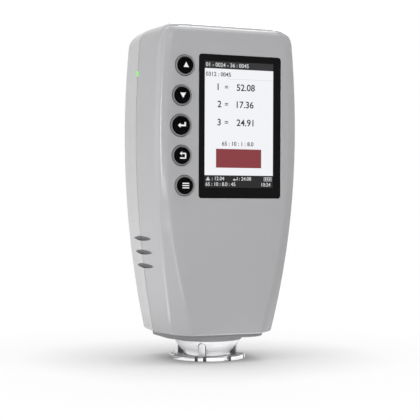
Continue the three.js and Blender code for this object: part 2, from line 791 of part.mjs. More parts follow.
addNode("processor_shield", uprightPlate(shieldWidth / 2, shieldLength / 2, windowCorner, 0,
  mainBoardTop - shieldDrop, -mainBoardBack, -mainBoardBack + shieldThickness), aluminium);

// Test button and its switch
const testSide = sideAt(testButtonHeight, testAhead);
const testStemInner = testFlangeInner - testButtonStem;
const testSwitchOuter = testStemInner - testButtonTravel - fit;
addNode("test_button", joined([
  sidePlate(testButtonWidth / 2, testButtonLength / 2, testButtonWidth / 2, -testAhead,
    testButtonHeight, testFlangeOuter - testButtonFlange / 2, testSide + testButtonProud),
  sidePlate(testFlangeReach, testFlangeRise, testFlangeReach, -testAhead, testButtonHeight,
    testFlangeInner, testFlangeOuter),
  bar("x", testButtonStem / 2, testStemInner, testFlangeInner + testButtonFlange / 2,
    -testAhead, testButtonHeight),
]), keyRubber);
addNode("test_switch", block(testSwitchOuter - testSwitchWidth, testSwitchOuter,
  -mainBoardBack, -mainBoardBack + testSwitchDepth, testButtonHeight - testSwitchWidth / 2,
  testButtonHeight + testSwitchWidth / 2), blackPlastic);

// Power switch: the knob slides up to switch on
const powerSide = sideAt(powerHeight, powerAhead);
const powerBodyOuter = powerSide - wall - powerFootGap - powerKnobFoot;
const powerKnobHeight = powerHeight - powerTravel / 2;
addNode("power_switch", block(powerBodyOuter - powerBodyDepth, powerBodyOuter, -mainBoardBack,
  -mainBoardBack + powerBodyHeight, powerHeight - powerKnobLength, powerHeight + powerKnobLength),
blackPlastic);
addNode("power_knob", joined([
  sidePlate(powerKnobWidth / 2, powerKnobLength / 2, powerKnobWidth / 2, -powerAhead,
    powerKnobHeight, powerBodyOuter + fit + powerKnobFoot / 2, powerSide + powerKnobProud),
  sidePlate(powerKnobWidth / 2 + powerFootMargin, powerKnobLength / 2 + powerFootMargin,
    powerKnobWidth / 2, -powerAhead, powerKnobHeight, powerBodyOuter + fit,
    powerBodyOuter + fit + powerKnobFoot),
]), keyRubber);

// Charging and data port
const portOuter = sideAt(portHeight, portAhead) - portRecess;
addNode("usb_port", cutBy(
  sidePlate(portThickness / 2, portLength / 2, portThickness / 2 - portSkin, -portAhead,
    portHeight, portOuter - portReach, portOuter),
  [sidePlate(portThickness / 2 - portSkin, portLength / 2 - portSkin, portThickness / 2
    - portSkin * 2, -portAhead, portHeight, portOuter - portReach / 2, portOuter + overrun)],
), aluminium);

// Status light: a clear pipe from the edge of the board to the seam
const lightOuter = seamHalfWidth - seamNarrowing * taperAt(lightHeight);
const lightBottom = lightHeight - lightSize / 2;
const lightTop = lightHeight + lightSize / 2;
const lightRoom = roomBetween(lightBottom, lightTop, 0, mainBoardBack) - fit;
const lightElbow = Math.min(mainBoardHalfWidth, lightRoom);
addNode("status_light", joined([
  block(-lightOuter, -lightElbow + lightLeg, -lightSize / 2, lightSize / 2, lightBottom, lightTop),
  block(-lightElbow, -lightElbow + lightLeg, -mainBoardBack, lightSize / 2, lightBottom, lightTop),
]), greenLight);

// Battery bay: tray, pack, cover and the cover's screw
addNode("battery_tray", cutBy(
  uprightPlate(bayHalfWidth + trayWall, bayHalfLength + trayWall, trayWall, 0, bayHeight,
    innerRear - trayDepth, innerRear),
  [uprightPlate(bayHalfWidth, bayHalfLength, trayWall, 0, bayHeight,
    innerRear - trayDepth + trayWall, innerRear + overrun)]), blackPlastic);
const batteryFront = innerRear - trayDepth + trayWall;
addNode("battery_pack", uprightPlate(batteryWidth / 2, batteryLength / 2, coverCorner, 0,
  bayHeight, batteryFront, batteryFront + batteryThickness), batteryWrap);
addNode("battery_cover", cutBy(
  uprightPlate(coverHalfWidth, coverHalfLength, coverCorner, 0, coverMiddle, coverFloor,
    rearDepth),
  [bar("y", screwRadius + fit, coverFloor - overrun, rearDepth + overrun, 0, coverScrewHeight),
    bar("y", screwHeadRadius + fit, coverHeadSeat, rearDepth + overrun, 0, coverScrewHeight),
  ]), greyPlastic);
addNode("cover_screw", joined([
  bar("y", screwHeadRadius, coverHeadSeat, coverHeadSeat + coverScrewHeadHeight, 0,
    coverScrewHeight),
  bar("y", screwRadius, rearDepth - coverScrewLength, coverHeadSeat + coverScrewHeadHeight / 2,
    0, coverScrewHeight),
]), screwSteel);

// Screws that join the shells, sunk deep in the rear shell
for (const { name, x, z } of shellScrews) {
  addNode(name, joined([
    bar("y", shellScrewHeadRadius, shellScrewSeat, shellScrewSeat + screwHeadHeight,
      x, z),
    bar("y", shellScrewShaftRadius, shellScrewSeat - shellScrewLength + fit,
      shellScrewSeat + screwHeadHeight / 2, x, z),
  ]), screwSteel);
}

// Base plate, chassis and their screws
const columnPlaces = [[-1, -1], [1, -1], [-1, 1], [1, 1]].map(([sideX, sideY]) => ({
  name: `base_screw_${sideY < 0 ? "front" : "rear"}_${sideX < 0 ? "left" : "right"}`,
  x: sideX * columnHalfSpan,
  y: sideY * columnHalfDepth,
}));
addNode("base_plate", cutBy(joined([
  flatPlate(baseHalfWidth, baseHalfDepth, baseCorner, baseUnderside, bodyFloor),
  flatPlate(spigotHalfWidth, spigotHalfDepth, spigotCorner, bodyFloor - overrun, innerFloor),
]), [
  bar("z", baseBore, baseUnderside - overrun, innerFloor + overrun, 0, 0, fineSegments),
  ...columnPlaces.map(({ x, y }) => bar("z", shellScrewHoleRadius, baseUnderside - overrun,
    innerFloor + overrun, x, y)),
  ...columnPlaces.map(({ x, y }) => bar("z", shellScrewSinkRadius, baseUnderside - overrun,
    baseUnderside + baseScrewHeadHeight, x, y)),
]), darkPlastic);
addNode("optics_chassis", cutBy(joined([
  flatPlate(chassisHalfWidth, chassisHalfDepth, chassisCorner, innerFloor, chassisTop),
  ...columnPlaces.map(({ x, y }) => bar("z", columnRadius, innerFloor + chassisThickness / 2,
    flangeUnderside, x, y)),
]), [
  bar("z", neckRadius + fit, innerFloor - overrun, chassisTop + overrun, 0, 0, roundSegments),
  ...columnPlaces.map(({ x, y }) => bar("z", shellScrewHoleRadius, innerFloor - overrun,
    baseUnderside + baseScrewHeadHeight + baseScrewLength, x, y)),
]), aluminium);
for (const { name, x, y } of columnPlaces) {
  addNode(name, joined([
    bar("z", shellScrewHeadRadius, baseUnderside, baseUnderside + baseScrewHeadHeight, x, y),
    bar("z", shellScrewShaftRadius, baseUnderside + baseScrewHeadHeight / 2,
      baseUnderside + baseScrewHeadHeight + baseScrewLength - fit, x, y),
  ]), screwSteel);
}

// Integrating sphere in two halves
function halfSphere(upper) {
  const geometry = new THREE.SphereGeometry(sphereRadius, roundSegments, smallSegments);
  geometry.rotateX(Math.PI / 2).translate(0, 0, sphereCentre);
  const hollow = new THREE.SphereGeometry(sphereRadius - sphereWall, roundSegments, smallSegments);
  hollow.rotateX(Math.PI / 2).translate(0, 0, sphereCentre);
  const reach = flangeHalfWidth + overrun;
  const [low, high] = upper
    ? [sphereCentre, sphereTop + overrun]
    : [coneNeckTop, sphereCentre];
  const flange = upper
    ? flatPlate(flangeHalfWidth, flangeHalfDepth, flangeCorner, low, low + flangeThickness)
    : flatPlate(flangeHalfWidth, flangeHalfDepth, flangeCorner, high - flangeThickness, high);
  const neck = upper
    ? bar("z", headBossRadius, sphereCentre + sphereRadius / 2, sphereTop, 0, 0, roundSegments)
    : bar("z", neckRadius, coneNeckTop + fit, sphereCentre - sphereRadius / 2, 0, 0, roundSegments);
  const bore = upper
    ? bar("z", tubeRadius + fit, sphereCentre, sphereTop + overrun, 0, 0, roundSegments)
    : bar("z", portBore, coneNeckTop - overrun, sphereCentre, 0, 0, roundSegments);
  const side = block(-reach, reach, -reach, reach, low, high);
  const whole = joined([solid(geometry), flange, neck]).intersect(side);
  return cutBy(whole, [solid(hollow), bore]);
}
addNode("sphere_lower_half", halfSphere(false), sphereWhite);
addNode("sphere_upper_half", halfSphere(true), sphereWhite);
addNode("light_source_board", cutBy(
  bar("z", lightBoardRadius, sphereTop, sphereTop + boardThickness, 0, 0, roundSegments),
  [bar("z", tubeRadius + fit, sphereTop - overrun, sphereTop + boardThickness + overrun, 0, 0,
    roundSegments)]), circuitBoard);
addNode("detector_tube", cutBy(
  bar("z", tubeRadius, tubeBottom, tubeTop, 0, 0, roundSegments),
  [bar("z", tubeBore, tubeBottom - overrun, tubeTop - overrun, 0, 0, roundSegments)]), aluminium);
addNode("detector_module", block(-detectorHalfWidth, detectorHalfWidth, -mainBoardBack,
  detectorBack, tubeTop, tubeTop + detectorHeight), blackPlastic);

// Nose: collar, white cone and the aperture inside it
addNode("nose_collar", turned([
  [collarBore, collarUnderside], [collarRadius, collarUnderside], [collarRadius, baseUnderside],
  [collarSpigotRadius, baseUnderside], [collarSpigotRadius, baseUnderside + collarSpigot],
  [collarBore, baseUnderside + collarSpigot], [collarBore, collarUnderside],
]), palePlastic);

function clipAngles() {
  return Array.from({ length: clipCount }, (unused, i) =>
    THREE.MathUtils.degToRad(plateTurn + i * 360 / clipCount));
}

// A block that reaches outwards from the axis, turned to an angle
function spoke(inner, outer, width, z0, z1, angle) {
  const geometry = new THREE.BoxGeometry(outer - inner, width, z1 - z0);
  geometry.translate((inner + outer) / 2, 0, (z0 + z1) / 2).rotateZ(angle);
  return solid(geometry);
}

const coneAt = (rise) => coneBottomHeight + rise;
addNode("nose_cone", cutBy(turned([
  [coneLipRadius, coneBottomHeight], [coneBottomRadius, coneBottomHeight],
  [coneShoulderRadius, coneAt(coneShoulderRise)], [coneWaistRadius, coneAt(coneWaistRise)],
  [coneBellyRadius, coneAt(coneBellyRise)], [coneTopRadius, collarUnderside],
  [coneNeckRadius, collarUnderside], [coneNeckRadius, coneNeckTop], [coneBore, coneNeckTop],
  [coneBore, coneAt(coneLipThickness)], [coneLipRadius, coneAt(coneLipThickness)],
  [coneLipRadius, coneBottomHeight],
]), clipAngles().map((angle) => spoke(clipInnerRadius - fit, coneTopRadius + overrun,
  clipWidth + fit * 2, 0, clipTop + fit, angle))), whiteResin);
addNode("aperture_ring", turned([
  [apertureRadius, coneAt(coneLipThickness)], [coneBore - fit, coneAt(coneLipThickness)],
  [coneBore - fit, coneAt(coneLipThickness) + apertureThickness],
  [apertureRadius, coneAt(coneLipThickness) + apertureThickness],
  [apertureRadius, coneAt(coneLipThickness)],
], roundSegments), blackPlastic);

// Locating plate: a steel ring with four clips that stand in the cone's grooves
function locatingPlate() {
  const disc = turned([
    [plateInnerRadius, 0], [plateRadius - plateEdge, 0], [plateRadius, plateEdge],
    [plateRadius, plateThickness - plateEdge], [plateRadius - plateEdge, plateThickness],
    [plateInnerRadius, plateThickness], [plateInnerRadius, 0],
  ]);
  const clips = clipAngles().map((angle) => {
    const crown = clipTop - clipWidth / 2;
    const upright = spoke(clipInnerRadius, clipOuterRadius, clipWidth, 0, crown, angle);
    const round = new THREE.CylinderGeometry(clipWidth / 2, clipWidth / 2,
      clipOuterRadius - clipInnerRadius, smallSegments);
    round.rotateZ(Math.PI / 2).translate((clipInnerRadius + clipOuterRadius) / 2, 0, crown);
    round.rotateZ(angle);
    return upright.add(solid(round));
  });
  const beyond = plateRadius + overrun;
  const notches = clipAngles().flatMap((angle) => {
    const gap = spoke(plateRadius - clipNotchDepth, beyond, clipNotchWidth, -overrun,
      plateThickness + overrun, angle);
    const tongue = spoke(0, beyond, clipTongueWidth, -overrun, clipTop, angle);
    const plain = spoke(plateRadius - notchDepth, beyond, notchWidth, -overrun,
      plateThickness + overrun, angle + THREE.MathUtils.degToRad(notchTurn));
    return [gap.subtract(tongue), plain];
  });
  return cutBy(joined([disc, ...clips]), notches);
}
addNode("locating_plate", locatingPlate(), brightSteel);

export default colorimeter;
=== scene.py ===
"""Portable colorimeter on its locating plate: the looks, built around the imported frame.

Every size below is in millimetres. Meshes are turned into metres when they are made.
X is the width, -Y is the side with the screen and keys, Z is up, and the floor is at 0.
"""
from math import atan2, copysign, cos, pi, radians, sin, sqrt, tan

import bmesh
import bpy
from mathutils import Matrix, Vector

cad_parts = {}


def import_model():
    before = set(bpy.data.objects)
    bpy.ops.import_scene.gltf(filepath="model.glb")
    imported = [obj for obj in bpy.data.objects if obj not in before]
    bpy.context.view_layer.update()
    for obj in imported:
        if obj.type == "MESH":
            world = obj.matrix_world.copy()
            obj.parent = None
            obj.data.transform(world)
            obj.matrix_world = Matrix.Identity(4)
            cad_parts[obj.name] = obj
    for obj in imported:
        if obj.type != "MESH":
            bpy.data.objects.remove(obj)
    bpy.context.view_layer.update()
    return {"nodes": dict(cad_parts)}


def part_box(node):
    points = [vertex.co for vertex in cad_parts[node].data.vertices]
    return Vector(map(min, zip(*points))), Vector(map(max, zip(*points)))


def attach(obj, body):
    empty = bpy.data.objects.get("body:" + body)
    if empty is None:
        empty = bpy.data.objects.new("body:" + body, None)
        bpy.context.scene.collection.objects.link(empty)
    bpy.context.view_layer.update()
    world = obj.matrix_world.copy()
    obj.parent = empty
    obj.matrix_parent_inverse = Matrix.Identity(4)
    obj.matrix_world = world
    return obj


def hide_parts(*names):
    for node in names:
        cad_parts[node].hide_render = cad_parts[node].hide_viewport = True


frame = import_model()
MM = 0.001
ACROSS = {"x": (1, 2, 0), "y": (0, 2, 1), "z": (0, 1, 2)}


def spans(node, axis):
    """A CAD node's middle and half sizes across an axis, and its two ends along it."""
    low, high = (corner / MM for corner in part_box(node))
    u, v, along = ACROSS[axis]
    middle = ((low[u] + high[u]) / 2, (low[v] + high[v]) / 2)
    return middle, (high[u] - low[u]) / 2, (high[v] - low[v]) / 2, low[along], high[along]


# Places read from the frame
AXIS_Y = spans("locating_plate", "z")[0][1]
WINDOW_MIDDLE, WINDOW_HALF_X, WINDOW_HALF_Z, WINDOW_FRONT, WINDOW_BACK = spans("screen_window", "y")

# Casing, as its shells are in the frame
BODY_TOP = 187.5
BODY_FLOOR = 15.8
WIDEST_HEIGHT = 129.0
SEAM_HALF_WIDTH = 44.05
SEAM_NARROWING = 10.9
RIDGE_HALF_WIDTH = 42.6
RIDGE_NARROWING = 12.2
RIDGE_DROP = 1.4
RIDGE_DROP_GROWTH = 7.1
FACE_HALF_WIDTH = 37.0
FACE_NARROWING = 15.8
REAR_HALF_WIDTH = 43.0
REAR_NARROWING = 13.0
FRONT_DEPTH = 29.8
REAR_DEPTH = 28.4
FRONT_Y = AXIS_Y - FRONT_DEPTH
BACK_Y = AXIS_Y + REAR_DEPTH
FACE_EDGE_RADIUS = 6.0
RIDGE_RADIUS = 4.0
REAR_CORNER_RADIUS = 8.5
TOP_SIDE_RADIUS = 9.0
TOP_FRONT_RADIUS = 5.0
TOP_REAR_RADIUS = 8.5
BOTTOM_EDGE_RADIUS = 1.2
WALL = 2.2
SEAM_GAP = 0.5
SEAM_EDGE = 0.15

# Fits and cuts
FIT = 0.3
OVERRUN = 1.0
HOLE_EDGE = 0.25

# How finely round things are divided
ARC_STEPS = 10
BOTTOM_STEPS = 4
LOWER_STEPS = 34
UPPER_STEPS = 10
TOP_STEPS = 12
SEAM_STEPS = 3
ROUND = 64

# Meshes

SMOOTH_ANGLE = 32
BEVEL_ANGLE = 50
SHADING_WEIGHT = 60
SMALLEST_CORNER = 0.01
ON_AXIS = 1e-6
SAME_POINT = 1e-7
SAME_CUT_POINT = 2e-6


def link(name, data):
    piece = bpy.data.objects.new(name, data)
    bpy.context.scene.collection.objects.link(piece)
    return piece


def shade(mesh, angle=SMOOTH_ANGLE):
    mesh.shade_smooth()
    mesh.set_sharp_from_angle(angle=radians(angle))


def make(name, points, faces, angle=SMOOTH_ANGLE):
    """A mesh from points in millimetres, with its faces turned outwards."""
    mesh = bpy.data.meshes.new(name)
    mesh.from_pydata([Vector(point) * MM for point in points], [], faces)
    made = bmesh.new()
    made.from_mesh(mesh)
    bmesh.ops.remove_doubles(made, verts=made.verts, dist=SAME_POINT)
    bmesh.ops.recalc_face_normals(made, faces=made.faces)
    made.to_mesh(mesh)
    made.free()
    shade(mesh, angle)
    return link(name, mesh)


def stack(name, sections):
    """A solid from closed sections of equally many points, one after another."""
    count = len(sections[0])
    faces = []
    for row in range(len(sections) - 1):
        for i in range(count):
            a = row * count + i
            b = row * count + (i + 1) % count
            faces.append((a, b, b + count, a + count))
    last = (len(sections) - 1) * count
    faces += [tuple(range(count)), tuple(range(last, last + count))]
    return make(name, [point for section in sections for point in section], faces)


def place(axis, u, v, w):
    """A point from its two places across an axis and its place along it."""
    return {"x": (w, u, v), "y": (u, w, v), "z": (u, v, w)}[axis]


def revolve(name, profile, axis, centre, segments=ROUND, angle=SMOOTH_ANGLE):
    """A profile of (radius, place along the axis) pairs turned round an axis."""
    points = []
    rings = []
    for radius, along in profile:
        if radius < ON_AXIS:
            rings.append([len(points)] * segments)
            points.append(place(axis, centre[0], centre[1], along))
            continue
        rings.append(range(len(points), len(points) + segments))
        for i in range(segments):
            turn = 2 * pi * i / segments
            u = centre[0] + radius * cos(turn)
            v = centre[1] + radius * sin(turn)
            points.append(place(axis, u, v, along))
    closed = profile[0][0] > ON_AXIS
    faces = []
    for ring, other in zip(rings, rings[1:] + rings[:1] if closed else rings[1:]):
        for i in range(segments):
            j = (i + 1) % segments
            face = tuple(dict.fromkeys((ring[i], ring[j], other[j], other[i])))
            if len(face) > 2:
                faces.append(face)
    return make(name, points, faces, angle)


def rod(name, axis, centre, radius, start, end, segments):
    """A plain cylinder."""
    return revolve(name, [(0.0, start), (radius, start), (radius, end), (0.0, end)], axis, centre, segments)


def round_hole(axis, centre, mouth, steps, edge, segments):
    """A round cut with a chamfered mouth: steps are (radius, end) pairs, inwards from there."""
    way = 1 if steps[0][1] > mouth else -1
    wide = steps[0][0] + edge
    profile = [(0.0, mouth - way * OVERRUN), (wide, mouth - way * OVERRUN), (wide, mouth)]
    start = mouth + way * edge
    for radius, end in steps:
        profile += [(radius, start), (radius, end)]
        start = end
    return revolve("cut", profile + [(0.0, start)], axis, centre, segments)


def quarter(steps):
    """Turns from 0 to a right angle, in equal steps."""
    return [pi / 2 * i / steps for i in range(steps + 1)]


def fillet(radius, along, size, out, up, steps=4):
    """Points of a quarter-round at a profile's corner: out and up are each 1 or -1."""
    points = []
    for turn in quarter(steps):
        points.append((radius - out * size + out * size * cos(turn),
                       along - up * size + up * size * sin(turn)))
    return points


def rounded_outline(half_u, half_v, radius, steps):
    points = []
    for side_u, side_v, start in ((1, -1, -90), (1, 1, 0), (-1, 1, 90), (-1, -1, 180)):
        for i in range(steps + 1):
            turn = radians(start + 90 * i / steps)
            points.append((side_u * (half_u - radius) + radius * cos(turn),
                           side_v * (half_v - radius) + radius * sin(turn)))
    return points


def plate(name, axis, half_u, half_v, radius, centre, levels, steps=8):
    """A plate with round corners: levels are (place along the axis, inset) pairs."""
    sections = []
    for along, inset in levels:
        corner = max(radius - inset, SMALLEST_CORNER)
        outline = rounded_outline(half_u - inset, half_v - inset, corner, steps)
        sections.append([place(axis, centre[0] + u, centre[1] + v, along) for u, v in outline])
    return stack(name, sections)


def plain_levels(start, end):
    return [(start, 0.0), (end, 0.0)]


def edge_levels(face, edge, steps=3):
    """Levels of a plate's rounded edge, from a face inwards: edge is negative below an upper face."""
    return [(face + edge * (1 - cos(turn)), abs(edge) * (1 - sin(turn))) for turn in quarter(steps)]


def soft_levels(start, end, edge):
    """Levels of a plate whose two faces have rounded edges."""
    way = edge if end > start else -edge
    return edge_levels(start, way) + edge_levels(end, -way)[::-1]


def mouth_levels(mouth, end, edge=HOLE_EDGE):
    """Levels of a cut with a chamfered mouth."""
    way = 1 if end > mouth else -1
    return [(mouth - way * OVERRUN, -edge), (mouth, -edge), (mouth + way * edge, 0.0), (end, 0.0)]


def joined(name, pieces):
    """Several pieces as one mesh."""
    made = bmesh.new()
    for piece in pieces:
        made.from_mesh(piece.data)
    mesh = bpy.data.meshes.new(name)
    made.to_mesh(mesh)
    made.free()
    for piece in pieces:
        bpy.data.objects.remove(piece)
    shade(mesh)
    return link(name, mesh)


def two_tone(piece, first, second, index=0):
    """Gives a piece two materials, and all its faces one of them."""
    piece.data.materials.append(first)
    piece.data.materials.append(second)
    for face in piece.data.polygons:
        face.material_index = index
    return piece


def evaluated_mesh(piece):
    bpy.context.view_layer.update()
    evaluated = piece.evaluated_get(bpy.context.evaluated_depsgraph_get())
    return bpy.data.meshes.new_from_object(evaluated)


def apply_steps(piece):
    """Turns a piece's modifiers into its mesh."""
    mesh = evaluated_mesh(piece)
    piece.modifiers.clear()
    piece.data = mesh


def tidy(mesh):
    """Merges points that lie together and dissolves faces without area."""
    made = bmesh.new()
    made.from_mesh(mesh)
    bmesh.ops.remove_doubles(made, verts=made.verts, dist=SAME_CUT_POINT)
    bmesh.ops.dissolve_degenerate(made, edges=made.edges, dist=SAME_CUT_POINT)
    made.to_mesh(mesh)
    made.free()


def boolean(piece, cutters, operation="DIFFERENCE"):
    """Cuts the cutters out of a piece, or joins them to it, and removes them."""
    for cutter in cutters:
        step = piece.modifiers.new("step", "BOOLEAN")
        step.operation = operation
        step.solver = "EXACT"
        step.object = cutter
    apply_steps(piece)
    for cutter in cutters:
        bpy.data.objects.remove(cutter)
    tidy(piece.data)
    shade(piece.data)


def bevelled(piece, width, segments=2):
    """Rounds a piece's hard edges."""
    step = piece.modifiers.new("edge", "BEVEL")
    step.width = width * MM
    step.segments = segments
    step.limit_method = "ANGLE"
    step.angle_limit = radians(BEVEL_ANGLE)
    apply_steps(piece)
    shade(piece.data)
    return piece


def level_shading(piece):
    """Keeps large faces evenly shaded where cuts have split them."""
    step = piece.modifiers.new("shading", "WEIGHTED_NORMAL")
    step.keep_sharp = True
    step.weight = SHADING_WEIGHT
    apply_steps(piece)


def finish(piece, material, slot, *nodes, body="root"):
    """Gives a piece its material and its body, and hides the nodes that it stands for. The slot is not used.
    """
    if not piece.data.materials:
        piece.data.materials.append(material)
    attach(piece, body)
    if nodes:
        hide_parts(*nodes)


# Materials

RAMP_SHARES = (0.3, 0.7)
GLOSS_DRIFT = 0.015


def wire(node, inputs):
    """Sets a shader node's inputs to values, or links other nodes' outputs to them."""
    for name, value in inputs.items():
        if isinstance(value, bpy.types.NodeSocket):
            node.id_data.links.new(value, node.inputs[name])
        else:
            node.inputs[name].default_value = value
    return node


def add(owner, kind, inputs):
    """Adds a shader node to the tree that a node or a socket belongs to."""
    return wire(owner.id_data.nodes.new("ShaderNode" + kind), inputs)


def node_material(name):
    material = bpy.data.materials.new(name)
    material.use_nodes = True
    shader = material.node_tree.nodes["Principled BSDF"]
    return material, shader, add(shader, "TexCoord", {}).outputs["Object"]


def noise(where, scale, detail=2.0):
    return add(where, "TexNoise", {"Scale": scale, "Detail": detail, "Vector": where}).outputs["Fac"]


def ramp(value, low, high):
    made = add(value, "ValToRGB", {"Fac": value})
    for stop, share, tone in zip(made.color_ramp.elements, RAMP_SHARES, (low, high)):
        stop.position = share
        stop.color = (*tone, 1)
    return made.outputs["Color"]


def spread(value, low, high):
    return add(value, "MapRange", {"To Min": low, "To Max": high, "Value": value}).outputs["Result"]


def bump(shader, heights, strength, distance):
    relief = add(shader, "Bump", {"Strength": strength, "Distance": distance * MM, "Height": heights})
    wire(shader, {"Normal": relief.outputs["Normal"]})


def linear(level):
    """A linear value from an sRGB level of 0 to 255."""
    share = level / 255
    return share / 12.92 if share <= 0.04045 else ((share + 0.055) / 1.055) ** 2.4


def colour(red, green, blue):
    return linear(red), linear(green), linear(blue)


def shifted(base, share):
    return tuple(min(max(part * (1 + share), 0), 1) for part in base)


def moulded(name, base, rough, grain=1600.0, relief=0.12, variation=0.008, shine=0.5):
    """Moulded plastic: a fine spark-eroded grain and a faint drift of colour and gloss."""
    material, shader, where = node_material(name)
    drift = noise(where, scale=45.0, detail=3.0)
    gloss = noise(where, scale=260.0)
    wire(shader, {
        "Base Color": ramp(drift, shifted(base, -variation), shifted(base, variation)),
        "Roughness": spread(gloss, rough - GLOSS_DRIFT, rough + GLOSS_DRIFT),
        "Specular IOR Level": shine,
    })
    bump(shader, noise(where, grain, detail=4.0), relief, distance=0.05)
    return material


def metal(name, base, rough, grain=(1.0, 1.0, 1.0), scale=900.0, relief=0.05):
    """Machined or polished metal: fine lines along one direction, and uneven polish."""
    material, shader, where = node_material(name)
    mapping = add(shader, "Mapping", {"Scale": grain, "Vector": where})
    lines = noise(mapping.outputs["Vector"], scale, detail=3.0)
    polish = noise(where, scale=300.0, detail=3.0)
    wire(shader, {
        "Base Color": ramp(lines, shifted(base, -0.05), shifted(base, 0.03)),
        "Roughness": spread(polish, low=rough * 0.75, high=rough * 1.3),
        "Metallic": 1.0,
    })
    bump(shader, lines, relief, distance=0.03)
    return material


def lit(name, base, strength, rough=0.12):
    """A lit surface behind glass: it glows in its own colour under a clear gloss."""
    material, shader, where = node_material(name)
    pixels = noise(where, scale=4000.0, detail=1.0)
    gloss = noise(where, scale=120.0)
    wire(shader, {
        "Emission Color": ramp(pixels, shifted(base, -0.015), base),
        "Emission Strength": strength,
        "Base Color": (0.02, 0.02, 0.02, 1),
        "Roughness": spread(gloss, low=rough - 0.02, high=rough + 0.03),
        "Specular IOR Level": 0.08,
    })
    return material


def black_glass(name):
    """Black-backed screen glass with faint smears in its polish."""
    material, shader, where = node_material(name)
    smears = noise(where, scale=55.0, detail=4.0)
    wire(shader, {
        "Base Color": ramp(smears, low=(0.0040, 0.0040, 0.0045), high=(0.0060, 0.0060, 0.0066)),
        "Roughness": spread(smears, low=0.10, high=0.20),
        "Specular IOR Level": 0.05,
    })
    return material


def board(name):
    """Circuit board: solder mask with faint copper runs under it."""
    material, shader, where = node_material(name)
    cells = add(shader, "TexBrick", {
        "Scale": 180.0, "Mortar Size": 0.06, "Vector": where,
        "Color1": (0.012, 0.090, 0.045, 1), "Color2": (0.016, 0.110, 0.055, 1),
        "Mortar": (0.030, 0.170, 0.085, 1),
    })
    gloss = noise(where, scale=200.0)
    wire(shader, {
        "Base Color": cells.outputs["Color"],
        "Roughness": spread(gloss, low=0.3, high=0.45),
    })
    bump(shader, cells.outputs["Fac"], strength=0.2, distance=0.04)
    return material


BODY_GREY = moulded("body_grey_plastic", colour(173, 173, 175), rough=0.14)
BODY_LIGHT = moulded("body_light_grey_plastic", colour(185, 185, 186), rough=0.14)
COLLAR_GREY = moulded("collar_plastic", colour(138, 138, 140), rough=0.4)
KEY_COLLAR_GREY = moulded("key_collar_plastic", colour(130, 130, 131), rough=0.34)
BASE_GREY = moulded("base_plastic", colour(126, 126, 129), rough=0.45)
CONE_WHITE = moulded("cone_resin", colour(248, 248, 249), rough=0.3, relief=0.05, variation=0.004)
KEY_BLACK = moulded("key_rubber_black", colour(3, 3, 4), rough=0.4, relief=0.06, variation=0.1, shine=0.025)
# Painted shade: the faces inside the grooves take this darker grey.
GROOVE_PAINTED_SHADE = moulded("groove_painted_shade", colour(104, 104, 107), rough=0.5)
KEY_WHITE = moulded("key_print_white", colour(246, 246, 247), rough=0.45, relief=0.03, variation=0.005)
BLACK_PLASTIC = moulded("black_plastic_matt", colour(28, 28, 30), rough=0.55, variation=0.06)
SPHERE_WHITE = moulded("sphere_coating", colour(244, 244, 242), rough=0.85, grain=2600.0, relief=0.25)
BATTERY_WRAP = moulded("battery_film", colour(44, 76, 134), rough=0.3, variation=0.05)
SCREEN_GLASS = black_glass("screen_glass_black")
BOARD_GREEN = board("circuit_board_green")
ALUMINIUM = metal("aluminium_machined", colour(168, 170, 173), rough=0.4, grain=(1, 1, 12))
SCREW_STEEL = metal("screw_steel_plated", colour(142, 143, 146), rough=0.3)
PLATE_STEEL = metal("plate_steel_polished", colour(222, 222, 224), rough=0.1, relief=0.006)
PLATE_FACE = metal("plate_steel_blasted", colour(172, 172, 175), rough=0.5, scale=1500.0, relief=0.1)
CLIP_STEEL = metal("clip_steel_satin", colour(196, 196, 199), rough=0.42, relief=0.02)
# Painted shade: a darker steel on the clips' flanks and on the faces of the plate's cuts.
STEEL_PAINTED_SHADE = metal("steel_painted_shade", colour(84, 84, 88), rough=0.35, relief=0.02)
LED_GREEN = lit("light_pipe_green", colour(133, 246, 107), strength=1.0, rough=0.3)
SCREEN_WHITE = lit("screen_white", colour(247, 248, 252), strength=0.94)
SCREEN_BAR = lit("screen_bar", colour(44, 44, 46), strength=0.8)
SCREEN_FOOT = lit("screen_foot", colour(24, 24, 26), strength=0.8)
SCREEN_INK = lit("screen_ink", colour(52, 52, 56), strength=0.8)
SCREEN_PALE = lit("screen_pale_ink", colour(214, 215, 218), strength=0.9)
SCREEN_LINE = lit("screen_line", colour(226, 227, 232), strength=0.94)
SCREEN_PATCH = lit("screen_patch", colour(137, 51, 59), strength=0.95)

CARRIED_OVER = {
    BLACK_PLASTIC: ["display_panel", "display_frame", "buzzer", "test_switch", "power_switch", "battery_tray",
                    "detector_module", "aperture_ring"],
    BOARD_GREEN: ["key_board", "main_board", "light_source_board"],
    ALUMINIUM: ["processor_shield", "optics_chassis", "detector_tube"],
    BATTERY_WRAP: ["battery_pack"],
    SPHERE_WHITE: ["sphere_lower_half", "sphere_upper_half"],
    SCREW_STEEL: [name for name in frame["nodes"] if "screw" in name],
}


def dress_frame():
    """Gives the CAD nodes that show as they are their materials."""
    for material, names in CARRIED_OVER.items():
        for name in names:
            for slot in frame["nodes"][name].material_slots:
                slot.material = material


# Casing


def rounded_corner(before, corner, after, radius):
    """Points of an arc that rounds a corner between two others."""
    into = (before - corner).normalized()
    out = (after - corner).normalized()
    half = into.angle(out) / 2
    centre = corner + (into + out).normalized() * (radius / sin(half))
    start = corner + into * (radius / tan(half)) - centre
    end = corner + out * (radius / tan(half)) - centre
    sweep = atan2(start.x * end.y - start.y * end.x, start.dot(end))
    points = []
    for i in range(ARC_STEPS + 1):
        turn = sweep * i / ARC_STEPS
        x = start.x * cos(turn) - start.y * sin(turn)
        y = start.x * sin(turn) + start.y * cos(turn)
        points.append(Vector((x, y)) + centre)
    return points


def edge_inset(distance, radius):
    """How far a rounded edge lies inwards at a distance from its end."""
    if distance >= radius:
        return 0.0
    gap = radius - max(distance, 0.0)
    return radius - sqrt(radius * radius - gap * gap)


